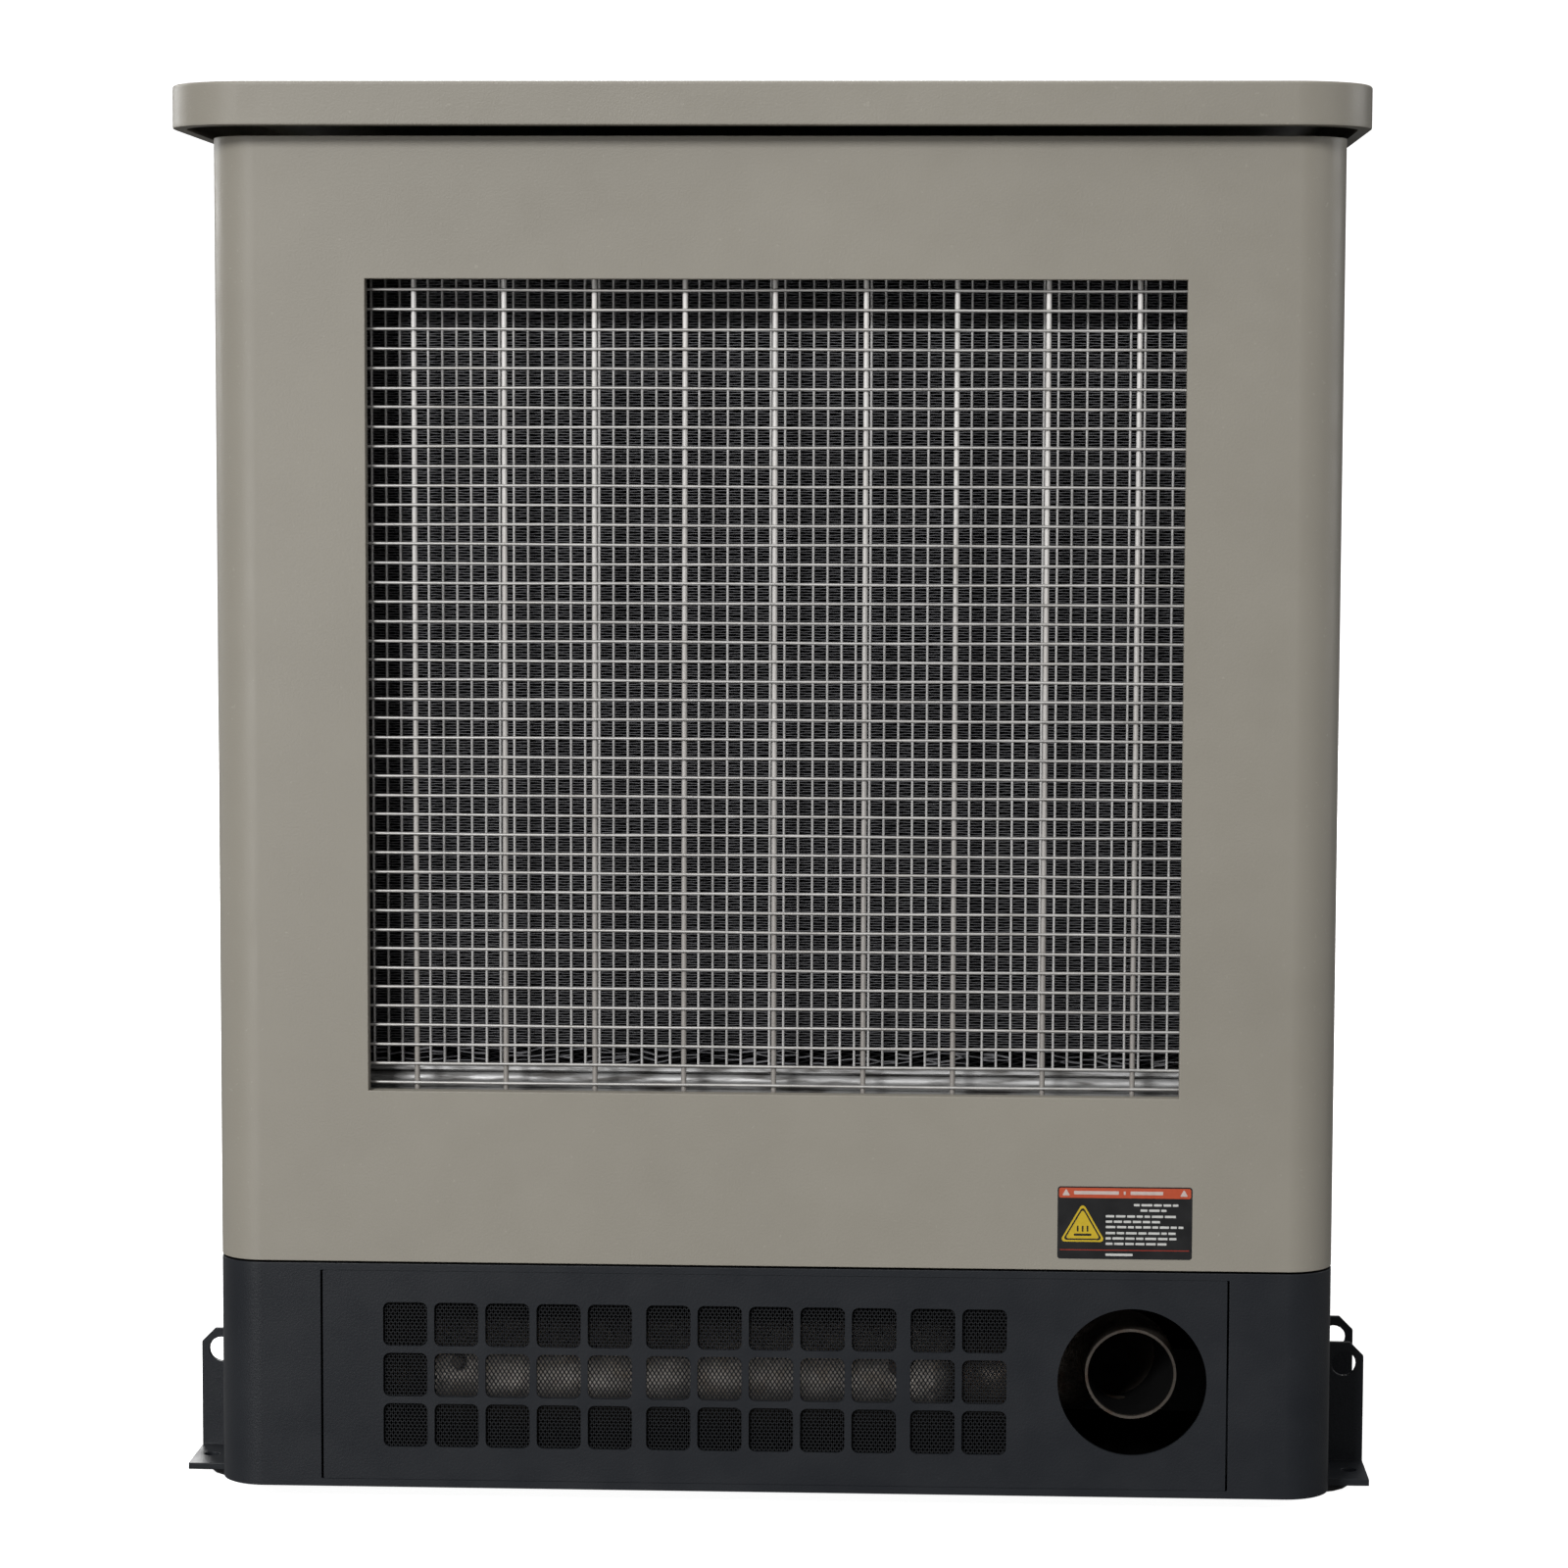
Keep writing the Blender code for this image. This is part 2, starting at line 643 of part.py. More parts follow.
node("radiator_core", box(-0.315, 0.315, CORE_FRONT, CORE_REAR, CORE_BOTTOM, CORE_TOP), ALUMINIUM)
node("radiator_top_tank", top_tank(), ALUMINIUM)
node("radiator_bottom_tank", bottom_tank(), ALUMINIUM)
node("radiator_cap", radiator_cap(), ALUMINIUM, origin=CAP)
node("fan_shroud", fan_shroud(), PLASTIC)
node("fan", fan(), PLASTIC, origin=(0, SHROUD_REAR, FAN_Z))
node("fan_pulley", pulley(FAN_PULLEY_R, PUMP_SHAFT_R + GAP + 0.0007, FAN_Z), IRON, origin=(0, BELT_Y[0], FAN_Z))
node("fan_belt", fan_belt(), RUBBER)
node("water_pump", water_pump(), IRON)
node("upper_hose", pipe([(0.200, TANK_REAR + 0.0145, 0.957), (0.200, -0.665, 0.957), (0.190, -0.608, 0.915),
                         (0.140, -0.592, 0.780), (0.100, -0.590, 0.680), (0.092, -0.583, 0.615),
                         (0.088, ENGINE_FRONT - GAP, 0.603)], 0.021, per_span=2), RUBBER)
node("lower_hose", pipe([(0.240, TANK_REAR + 0.0145, 0.290), (0.240, -0.680, 0.290), (0.225, -0.610, 0.330),
                         (0.200, -0.550, 0.430), (0.130 + GAP, -0.520, 0.460)], 0.021), RUBBER)


# ---- Engine -------------------------------------------------------------------------------
DIPSTICK = Vector((0.170, -0.300, 0.560))


def engine_block():
    block = box(-0.130, 0.130, ENGINE_FRONT, ENGINE_REAR, 0.262, 0.500)
    bore = cylinder("y", 0, CRANK_Z, SHAFT_R + 0.002, ENGINE_FRONT - 0.01, ENGINE_REAR + 0.01, 16)
    feet = []
    for side in (-1, 1):
        feet.append(box(side * 0.120, side * 0.175, -0.580, -0.535, 0.300, 0.312))
        feet.append(box(side * 0.163, side * 0.175, -0.580, -0.535, 0.140, 0.312))
    guide = box(0.120, DIPSTICK.x + 0.012, DIPSTICK.y - 0.012, DIPSTICK.y + 0.012, 0.420, 0.470)
    dipstick_hole = cylinder("z", DIPSTICK.x, DIPSTICK.y, 0.005, 0.400, 0.490, 12)
    return cut(union(block, guide, *feet), bore, dipstick_hole)


def valve_cover():
    cover = prism([(-0.085, 0.640 + GAP), (0.085, 0.640 + GAP), (0.075, 0.700), (-0.075, 0.700)],
                  "y", ENGINE_FRONT + 0.020, ENGINE_REAR - 0.020)
    filler = cylinder("z", 0, -0.480, 0.022, 0.690, 0.722, 16)
    return union(cover, filler)


def oil_pan():
    return prism([(-0.080, 0.150), (0.080, 0.150), (0.125, 0.262 - GAP), (-0.125, 0.262 - GAP)],
                 "y", ENGINE_FRONT + 0.060, ENGINE_REAR - 0.010)


def exhaust_manifold():
    log = cylinder("y", -0.175, 0.560, 0.026, -0.500, -0.120, 12)
    runners = []
    for i in range(4):
        y = -0.470 + i * 0.105
        runners.append(box(-0.175, -0.120 - GAP, y - 0.018, y + 0.018, 0.542, 0.578))
    return union(log, *runners)


def air_cleaner():
    body = cylinder("y", 0, 0.795, 0.078, -0.420, -0.160, 24)
    snout = cylinder("y", 0, 0.795, 0.030, -0.170, -0.100, 16)
    foot = box(-0.030, 0.030, -0.320, -0.260, 0.700 + GAP, 0.740)
    return union(body, snout, foot)


def dipstick():
    rod = cylinder("z", DIPSTICK.x, DIPSTICK.y, 0.003, 0.340, DIPSTICK.z, 8)
    handle = box(DIPSTICK.x - 0.004, DIPSTICK.x + 0.004, DIPSTICK.y - 0.020, DIPSTICK.y + 0.020,
                 DIPSTICK.z - 0.004, DIPSTICK.z + 0.008)
    return union(rod, handle)


node("engine_block", engine_block(), IRON)
node("cylinder_head", box(-0.120, 0.120, ENGINE_FRONT, ENGINE_REAR, 0.500 + GAP, 0.640), ALUMINIUM)
node("valve_cover", valve_cover(), PLASTIC)
node("oil_pan", oil_pan(), DARK)
node("exhaust_manifold", exhaust_manifold(), EXHAUST)
node("air_cleaner", air_cleaner(), PLASTIC)
node("oil_filter", cylinder("x", -0.420, 0.380, 0.038, 0.130 + GAP, 0.215, 18), PLASTIC)
node("dipstick", dipstick(), ZINC, origin=DIPSTICK)

# ---- Turning line: crankshaft, pulley, rotor ----------------------------------------------
STATOR = (-0.020, 0.440)
STATOR_R = 0.185
SHAFT_END = 0.470


def alternator_housing():
    start, end = STATOR
    wall = 0.012
    bore = SHAFT_R + 0.002
    profile = [(bore, ENGINE_REAR + GAP), (0.118, ENGINE_REAR + GAP), (0.118, start), (STATOR_R, start),
               (STATOR_R, end), (bore, end), (bore, end - wall),
               (0.150, end - wall), (0.150, start + wall), (bore, start + wall)]
    drum = turned(profile, 0, CRANK_Z, 28)
    feet = [box(side * 0.115 - 0.035, side * 0.115 + 0.035, 0.340, 0.380, 0.140, 0.215) for side in (-1, 1)]
    return union(drum, *feet)


node("crankshaft", cylinder("y", 0, CRANK_Z, SHAFT_R, BELT_Y[0] + 0.002, SHAFT_END, 16), ZINC,
     origin=(0, 0, CRANK_Z))
node("crank_pulley", pulley(CRANK_PULLEY_R, SHAFT_R + GAP + 0.0007, CRANK_Z), IRON, origin=(0, BELT_Y[0], CRANK_Z))
node("alternator_rotor", turned([(SHAFT_R + GAP + 0.0007, 0.060), (0.130, 0.060), (0.130, 0.360),
                                 (SHAFT_R + GAP + 0.0007, 0.360)], 0, CRANK_Z, 20), IRON, origin=(0, 0, CRANK_Z))
node("alternator_housing", alternator_housing(), IRON)


# ---- Exhaust ------------------------------------------------------------------------------
MUFFLER_Y = FRONT + 0.160
MUFFLER_Z = 0.062
MUFFLER_X = (-0.275, 0.135)
MUFFLER_HALF = (0.078, 0.045)


def muffler():
    deep, high = MUFFLER_HALF
    steps = 24
    outline = [(MUFFLER_Y + deep * math.cos(i * math.tau / steps), MUFFLER_Z + high * math.sin(i * math.tau / steps))
               for i in range(steps)]
    return prism(outline, "x", *MUFFLER_X)


node("muffler", muffler(), EXHAUST)
node("tail_pipe", pipe([(MUFFLER_X[1] + GAP, MUFFLER_Y, 0.064), (0.170, MUFFLER_Y - 0.002, 0.067),
                        (0.222, MUFFLER_Y - 0.014, 0.083), (0.258, MUFFLER_Y - 0.050, 0.0965),
                        (OUTLET.x, FRONT + 0.075, OUTLET.z), (OUTLET.x, FRONT + PIPE_RECESS, OUTLET.z)],
                       PIPE_R, PIPE_WALL, steps=16, per_span=2), EXHAUST)
node("exhaust_downpipe", pipe([(-0.2015, -0.460, 0.560), (-0.250, -0.465, 0.545), (-0.285, -0.480, 0.460),
                               (-0.302, -0.540, 0.250), (-0.306, -0.640, 0.100), (-0.300, MUFFLER_Y, MUFFLER_Z),
                               (MUFFLER_X[0] - GAP, MUFFLER_Y - 0.004, MUFFLER_Z)], 0.022, per_span=2), EXHAUST)


# ---- Electrics and fuel -------------------------------------------------------------------
PANEL_X = 0.360
BUTTON = Vector((PANEL_X + GAP, 0.370, 0.680))
LEVER = Vector((PANEL_X + 0.0110, 0.150, 0.680))
LEVER_UP = math.radians(25)   # switched on


def control_box():
    shell = box(0.160, PANEL_X, 0.080, 0.440, 0.600, 0.900)
    hollow = box(0.163, PANEL_X - 0.003, 0.083, 0.437, 0.590, 0.897)
    posts = [box(0.346, PANEL_X - 0.0005, y - 0.015, y + 0.015, 0.072 + GAP, 0.640) for y in (0.110, 0.410)]
    ears = [box(PANEL_X - 0.001, LEVER.x + 0.006, LEVER.y + side * 0.0195 - 0.002, LEVER.y + side * 0.0195 + 0.002,
                LEVER.z - 0.014, LEVER.z + 0.014) for side in (-1, 1)]
    button_hole = cylinder("x", BUTTON.y, BUTTON.z, 0.0105, PANEL_X - 0.01, PANEL_X + 0.01, 16)
    return cut(union(cut(shell, hollow), *posts, *ears), button_hole)


def stop_button():
    stem = cylinder("x", BUTTON.y, BUTTON.z, 0.009, BUTTON.x - 0.010, BUTTON.x + 0.016, 12)
    head = cylinder("x", BUTTON.y, BUTTON.z, 0.018, BUTTON.x + 0.013, BUTTON.x + 0.024, 20)
    return union(stem, head)


def breaker_lever():
    pivot = cylinder("y", LEVER.x, LEVER.z, 0.007, LEVER.y - 0.015, LEVER.y + 0.015, 12)
    handle = box(0, 0.019, -0.008, 0.008, -0.004, 0.004)
    place = Matrix.Translation(LEVER) @ Matrix.Rotation(-LEVER_UP, 4, "Y")
    bmesh.ops.transform(handle, matrix=place, verts=handle.verts)
    return union(pivot, handle)


def battery():
    case = box(-0.365, -0.190, 0.500, 0.730, 0.0725, 0.270)
    posts = [cylinder("z", x, 0.530, 0.009, 0.265, 0.285, 12) for x in (-0.335, -0.220)]
    return union(case, *posts)


def fuel_regulator():
    disc = cylinder("x", 0.600, 0.300, 0.070, 0.200, 0.235, 20)
    body = box(0.190, 0.245, 0.575, 0.625, 0.180, 0.300)
    leg = box(0.200, 0.230, 0.590, 0.7550, 0.100, 0.200)
    foot = box(0.200, 0.230, 0.715, 0.755, 0.0665, 0.120)
    return union(disc, body, leg, foot)


def fuel_inlet_pipe():
    return pipe([(0.2155, 0.7555, 0.150), (0.240, 0.790, 0.130), (0.300, 0.815, 0.100), (0.355, 0.835, 0.100),
                 (0.355, 0.862, 0.100)], 0.012, 0.002, steps=10, per_span=2)


node("control_box", control_box(), DARK)
node("stop_button", stop_button(), RED, origin=BUTTON)
node("breaker_lever", breaker_lever(), PLASTIC, origin=LEVER)
node("battery", battery(), PLASTIC)
node("fuel_regulator", fuel_regulator(), ALUMINIUM)
node("fuel_inlet_pipe", fuel_inlet_pipe(), EXHAUST)
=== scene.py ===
"""Looks of the home standby generator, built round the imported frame.

Metres in the frame's own axes: +Z up, -Y the radiator end that faces the camera, +X the viewer's right.
"""

import json
import math
import random

import bmesh
import bpy
from mathutils import Matrix, Vector


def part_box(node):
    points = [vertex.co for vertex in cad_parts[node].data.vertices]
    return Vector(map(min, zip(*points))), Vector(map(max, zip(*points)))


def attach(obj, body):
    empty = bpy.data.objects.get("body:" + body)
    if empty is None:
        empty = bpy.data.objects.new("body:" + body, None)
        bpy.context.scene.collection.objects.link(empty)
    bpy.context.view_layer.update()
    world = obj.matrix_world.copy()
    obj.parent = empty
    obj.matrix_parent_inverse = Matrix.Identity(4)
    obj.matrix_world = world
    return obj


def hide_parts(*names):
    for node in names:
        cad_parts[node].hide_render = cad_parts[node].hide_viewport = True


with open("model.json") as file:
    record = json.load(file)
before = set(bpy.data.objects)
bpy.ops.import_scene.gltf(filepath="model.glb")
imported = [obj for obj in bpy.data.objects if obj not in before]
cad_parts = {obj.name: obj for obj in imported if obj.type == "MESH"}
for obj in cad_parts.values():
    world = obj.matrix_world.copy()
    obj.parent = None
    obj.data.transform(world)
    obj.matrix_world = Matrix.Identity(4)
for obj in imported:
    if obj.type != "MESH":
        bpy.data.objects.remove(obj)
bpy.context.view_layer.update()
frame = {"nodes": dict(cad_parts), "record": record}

RECORD = frame["record"]
SLOT_OF = {row["node"]: row["material_slot"] for row in RECORD["subparts"]}
BODY_OF = {node: body for body, nodes in RECORD["behaviour"]["bodies"].items() for node in nodes}

FRONT_LOW, FRONT_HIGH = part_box("front_panel")
FRONT = FRONT_LOW.y
HALF_W = FRONT_HIGH.x
SIDES = (("right", 1), ("left", -1))
QUARTER = math.pi / 2
random.seed(7)


# ---- Finishes ----
class Graph:
    """The nodes of a material or of the world. Most methods add one node and give its output."""

    def __init__(self, tree):
        self.nodes = tree.nodes
        self.links = tree.links

    def spread(self, value, low, high, to_low=0.0, to_high=1.0):
        node = self.nodes.new("ShaderNodeMapRange")
        for socket, number in zip(("From Min", "From Max", "To Min", "To Max"), (low, high, to_low, to_high)):
            node.inputs[socket].default_value = number
        self.links.new(value, node.inputs["Value"])
        return node.outputs["Result"]

    def coordinate(self, place, axis):
        split = self.nodes.new("ShaderNodeSeparateXYZ")
        self.links.new(place, split.inputs["Vector"])
        return split.outputs[axis]

    def product(self, first, second):
        node = self.nodes.new("ShaderNodeMath")
        node.operation = "MULTIPLY"
        for socket, value in zip(node.inputs, (first, second)):
            if isinstance(value, float):
                socket.default_value = value
            else:
                self.links.new(value, socket)
        return node.outputs["Value"]


class Finish(Graph):
    """A procedural material: a shader and the nodes that feed it, in object coordinates (metres)."""

    def __init__(self, name, roughness, metallic=0.0, specular=0.5):
        self.material = bpy.data.materials.new(name)
        self.material.use_nodes = True
        super().__init__(self.material.node_tree)
        self.shader = self.nodes["Principled BSDF"]
        self.shader.inputs["Roughness"].default_value = roughness
        self.shader.inputs["Metallic"].default_value = metallic
        self.shader.inputs["Specular IOR Level"].default_value = specular
        self.place = self.nodes.new("ShaderNodeTexCoord").outputs["Object"]

    def stretched(self, scale, turn=0.0):
        """The place, turned about Y by so many degrees and scaled."""
        mapping = self.nodes.new("ShaderNodeMapping")
        mapping.inputs["Rotation"].default_value = (0, math.radians(turn), 0)
        mapping.inputs["Scale"].default_value = scale
        self.links.new(self.place, mapping.inputs["Vector"])
        return mapping.outputs["Vector"]

    def noise(self, scale, detail, place=None):
        node = self.nodes.new("ShaderNodeTexNoise")
        node.inputs["Scale"].default_value = scale
        node.inputs["Detail"].default_value = detail
        self.links.new(place or self.place, node.inputs["Vector"])
        return node.outputs["Fac"]

    def mottled(self, scale, detail, *limits):
        """Noise, its values spread between limits."""
        return self.spread(self.noise(scale, detail), *limits)

    def height(self, low, high):
        """0 at the height low and 1 at the height high."""
        return self.spread(self.coordinate(self.place, "Z"), low, high)

    def blend(self, share, first, second):
        node = self.nodes.new("ShaderNodeMix")
        node.data_type = "RGBA"
        self.links.new(share, node.inputs["Factor"])
        for socket, value in ((node.inputs["A"], first), (node.inputs["B"], second)):
            if isinstance(value, tuple):
                socket.default_value = (*value, 1.0)
            else:
                self.links.new(value, socket)
        return node.outputs["Result"]

    def done(self, colour, roughness, relief, distance, strength):
        """The material, with its colour and roughness joined up, and the relief as bump."""
        node = self.nodes.new("ShaderNodeBump")
        node.inputs["Distance"].default_value = distance
        node.inputs["Strength"].default_value = strength
        self.links.new(relief, node.inputs["Height"])
        for value, socket in ((colour, "Base Color"), (roughness, "Roughness"), (node.outputs["Normal"], "Normal")):
            self.links.new(value, self.shader.inputs[socket])
        return self.material


def scaled(colour, factor):
    return tuple(min(1.0, channel * factor) for channel in colour)


def powder_coat(name, colour, roughness, dust, dust_share, specular=0.5):
    """Sprayed paint: a slight orange peel, faint clouds of tone, and fine dust."""
    made = Finish(name, roughness, specular=specular)
    tone = made.blend(made.mottled(3.1, 4, 0.35, 0.65), scaled(colour, 0.965), scaled(colour, 1.035))
    tone = made.blend(made.mottled(260, 6, 0.66, 0.74, 0.0, 0.45), tone, scaled(dust, 1.05))
    tone = made.blend(made.product(made.mottled(14, 7, 0.42, 0.70), dust_share), tone, dust)
    sheen = made.mottled(35, 5, 0.3, 0.7, roughness - 0.05, roughness + 0.07)
    return made.done(tone, sheen, made.noise(620, 2), 0.0004, 0.35)


def bright_metal(name, colour, roughness, stain_and_painted_reflection, stretch=(1, 1, 1), metallic=1.0, darker_below=None):
    """Bare or plated metal, with drawn streaks and dull patches. Given two heights, it goes darker from the upper one
    down to the lower one.
    """
    made = Finish(name, roughness, metallic)
    streaks = made.noise(160, 4, made.stretched(stretch))
    tone = made.blend(made.spread(streaks, 0.3, 0.7), scaled(colour, 0.82), scaled(colour, 1.12))
    tone = made.blend(made.mottled(22, 6, 0.48, 0.68, 0.0, 0.4), tone, stain_and_painted_reflection)
    # Darker towards the bottom, between the two heights.
    if darker_below:
        tone = made.blend(made.height(*darker_below), scaled(stain_and_painted_reflection, 0.52), tone)
    sheen = made.spread(streaks, 0.3, 0.7, roughness - 0.07, roughness + 0.12)
    return made.done(tone, sheen, streaks, 0.0002, 0.35)


def streaked(name, colour, stain_and_painted_reflection):
    """Old cast aluminium with slanting dark streaks, which are painted reflections."""
    made = Finish(name, 0.50, 0.45)
    slant = made.stretched((30, 60, 260), 38)
    # The slanting dark streaks are painted reflections.
    painted_reflections = made.spread(made.noise(1.0, 4, slant), 0.42, 0.66)
    sheen = made.spread(painted_reflections, 0, 1, 0.45, 0.70)
    return made.done(made.blend(painted_reflections, colour, stain_and_painted_reflection), sheen, made.noise(1.0, 3, slant), 0.0006, 0.7)


def moulded(name, colour, roughness, grain=0.0003, scale=900, pale=0.06, specular=0.5):
    """Moulded plastic or rubber, with a fine grain and a greyish bloom."""
    made = Finish(name, roughness, specular=specular)
    bloom = made.mottled(18, 5, 0.4, 0.75, 0.0, 0.35)
    sheen = made.mottled(60, 4, 0.3, 0.7, roughness - 0.08, roughness + 0.10)
    tone = made.blend(bloom, colour, tuple(pale + channel for channel in colour))
    return made.done(tone, sheen, made.noise(scale, 3), grain, 0.4)


def cast(name, colour, roughness):
    """Cast metal with a pebbly skin under enamel, and dark grime in patches."""
    made = Finish(name, roughness, 0.3)
    tone = made.blend(made.noise(55, 4), scaled(colour, 0.75), scaled(colour, 1.30))
    tone = made.blend(made.mottled(9, 7, 0.45, 0.72, 0.0, 0.7), tone, scaled(colour, 0.35))
    sheen = made.mottled(80, 4, 0.3, 0.7, roughness - 0.1, roughness + 0.1)
    return made.done(tone, sheen, made.noise(420, 5), 0.0008, 0.5)


def heated(name, colour, rust, soot_and_painted_shade=None):
    """Exhaust steel: straw and brown heat tint with a bloom of rust, and painted shade, near black, below the heights
    given.
    """
    made = Finish(name, 0.55, 0.75)
    tone = made.blend(made.mottled(12, 5, 0.35, 0.65), colour, scaled(colour, 0.55))
    tone = made.blend(made.mottled(70, 8, 0.50, 0.68, 0.0, 0.8), tone, rust)
    # Painted shade: from the upper height down to the lower one the steel goes near black.
    if soot_and_painted_shade:
        tone = made.blend(made.height(*soot_and_painted_shade), scaled(rust, 0.05), tone)
    return made.done(tone, made.mottled(90, 5, 0.3, 0.7, 0.42, 0.75), made.noise(300, 6), 0.0006, 0.5)


def printed(name, colour, roughness=0.35):
    """Printed vinyl or a smooth moulding: a solid ink with a faint mottle and a fine surface grain."""
    made = Finish(name, roughness)
    tone = made.blend(made.mottled(240, 4, 0.35, 0.7), scaled(colour, 0.93), scaled(colour, 1.04))
    sheen = made.mottled(90, 3, 0.3, 0.7, roughness - 0.05, roughness + 0.08)
    return made.done(tone, sheen, made.noise(700, 2), 0.00006, 0.3)


# A finish is a slot's name, or a material for some pieces of that slot with the slot's name.
FINISHES = {
    "taupe_paint": powder_coat("taupe_powder_coat", (0.300, 0.279, 0.236), 0.42, (0.40, 0.375, 0.32), 0.10),
    "dark_paint": powder_coat("charcoal_powder_coat", (0.0155, 0.0175, 0.0215), 0.42, (0.030, 0.032, 0.036), 0.25,
                              specular=0.28),
    "bright_wire": bright_metal("zinc_plated_wire", (0.54, 0.53, 0.515), 0.45, (0.38, 0.36, 0.33), (0.3, 1, 0.3),
                                metallic=0.5),
    "bare_aluminium": bright_metal("weathered_aluminium", (0.50, 0.50, 0.50), 0.42, (0.10, 0.095, 0.09)),
    "exhaust_steel": heated("heat_tinted_steel", (0.15, 0.130, 0.112), (0.085, 0.050, 0.032)),
    "engine_iron": cast("engine_enamel", (0.170, 0.182, 0.195), 0.50),
    "rubber": moulded("black_rubber", (0.016, 0.016, 0.017), 0.72, 0.0004, 500),
    "black_plastic": moulded("black_plastic", (0.022, 0.022, 0.024), 0.45),
    "red_plastic": moulded("red_plastic", (0.52, 0.015, 0.012), 0.30, 0.0001),
}
FIN_METAL = bright_metal("fin_stock", (0.085, 0.085, 0.092), 0.45, (0.03, 0.03, 0.034), metallic=0.5), "bare_aluminium"
FIN_EDGE = bright_metal("fin_edge", (0.140, 0.140, 0.150), 0.50, (0.05, 0.05, 0.055), metallic=0.2), "bare_aluminium"
TUBE_METAL = bright_metal("tube_edge", (0.66, 0.65, 0.64), 0.50, (0.50, 0.49, 0.48), (1, 1, 0.02),
                          metallic=0.2), "bare_aluminium"
# The uprights get a lighter copy of the zinc wire finish than the horizontal wires: painted light.
UPRIGHT_METAL = bright_metal("zinc_upright", (0.84, 0.82, 0.80), 0.50, (0.62, 0.58, 0.54), (1, 1, 0.05),
                             metallic=0.2, darker_below=(0.33, 0.86)), "bright_wire"
# The muffler's lower part is painted shade, which moves its lit band up.
MUFFLER_METAL = heated("muffler_steel", (0.80, 0.74, 0.68), (0.46, 0.38, 0.30), (0.058, 0.084)), "exhaust_steel"
# The bottom tank's slanting dark streaks are painted reflections.
TANK_METAL = streaked("tank_aluminium", (0.44, 0.44, 0.44), (0.13, 0.125, 0.12)), "bare_aluminium"
MESH_STEEL = moulded("black_mesh", (0.006, 0.007, 0.009), 0.60, pale=0.004, specular=0.3), "dark_paint"
# Near black: soot inside the tail pipe, and painted shadow on the ground under the set.
SOOT_AND_PAINTED_SHADOW = moulded("soot_and_painted_shade", (0.003, 0.003, 0.003), 0.95, pale=0.002, specular=0.1), "exhaust_steel"
FOAM = moulded("acoustic_foam", (0.040, 0.040, 0.042), 0.95, 0.0030, 160, pale=0.020, specular=0.2), "rubber"
FASTENER = bright_metal("zinc_screw", (0.50, 0.50, 0.49), 0.33, (0.26, 0.24, 0.21)), "bright_wire"


# ---- Mesh helpers ----
AXES = {"x": (1, 2, 0), "y": (0, 2, 1), "z": (0, 1, 2)}


def along(axis, u, v, w):
    """A point from outline coordinates (u, v) and the distance w along the named axis."""
    return {"x": (w, u, v), "y": (u, w, v), "z": (u, v, w)}[axis]


def box(x0, x1, y0, y1, z0, z1):
    shape = bmesh.new()
    size = Matrix.Diagonal((x1 - x0, y1 - y0, z1 - z0, 1))
    middle = Matrix.Translation(((x0 + x1) / 2, (y0 + y1) / 2, (z0 + z1) / 2))
    bmesh.ops.create_cube(shape, size=1.0, matrix=middle @ size)
    return shape


def prism(outline, axis, start, end):
    shape = bmesh.new()
    face = shape.faces.new([shape.verts.new(along(axis, u, v, start)) for u, v in outline])
    made = bmesh.ops.extrude_face_region(shape, geom=[face])["geom"]
    moved = [item for item in made if isinstance(item, bmesh.types.BMVert)]
    bmesh.ops.translate(shape, verts=moved, vec=Vector(along(axis, 0, 0, end - start)))
    return shape


def skin(shape, rings):
    """The faces between each ring of vertices and the next."""
    for ring, after in zip(rings, rings[1:]):
        for j in range(len(ring)):
            k = (j + 1) % len(ring)
            shape.faces.new((ring[j], ring[k], after[k], after[j]))


def circle(u, v, radius, steps):
    turn = math.tau / steps
    return [(u + radius * math.cos(i * turn), v + radius * math.sin(i * turn)) for i in range(steps)]


def arc(u, v, radius, start, end, steps):
    angles = [start + (end - start) * i / steps for i in range(steps + 1)]
    return [(u + radius * math.cos(angle), v + radius * math.sin(angle)) for angle in angles]


def rounded(u0, u1, v0, v1, radius, steps=6):
    """The outline of a rectangle with round corners, anticlockwise."""
    made = []
    for i, (u, v) in enumerate(((u1 - radius, v1 - radius), (u0 + radius, v1 - radius),
                                (u0 + radius, v0 + radius), (u1 - radius, v0 + radius))):
        made += arc(u, v, radius, i * QUARTER, (i + 1) * QUARTER, steps)
    return made


def oblong(u, v, half_u, half_v, radius, steps=2):
    """A round-cornered rectangle about (u, v)."""
    return rounded(u - half_u, u + half_u, v - half_v, v + half_v, radius, steps)


def revolve(profile, spot, axis="y", steps=48, sign=1):
    """A profile of (radius, distance from the spot towards sign), turned round the axis through the spot."""
    u, v, w = AXES[axis]
    shape = bmesh.new()
    rings = [[shape.verts.new(along(axis, spot[u] + r * cos, spot[v] + r * sin, spot[w] + sign * d))
              for r, d in profile] for cos, sin in circle(0, 0, 1, steps)]
    skin(shape, [*rings, rings[0]])
    bmesh.ops.remove_doubles(shape, verts=shape.verts, dist=1e-6)
    return shape


def turned(profile, *placing):
    """A solid whose profile is closed on the axis at both ends."""
    return revolve([(0.0, profile[0][1]), *profile, (0.0, profile[-1][1])], *placing)


def smooth_path(points, per_span=10):
    """A Catmull-Rom curve through the points."""
    points = [Vector(p) for p in points]
    ends = [2 * points[0] - points[1], *points, 2 * points[-1] - points[-2]]
    made = []
    for a, b, c, d in zip(ends, ends[1:], ends[2:], ends[3:]):
        for i in range(per_span):
            t = i / per_span
            made.append(0.5 * (2 * b + (c - a) * t + (2 * a - 5 * b + 4 * c - d) * t * t
                               + (3 * b - a - 3 * c + d) * t ** 3))
    return [*made, points[-1]]


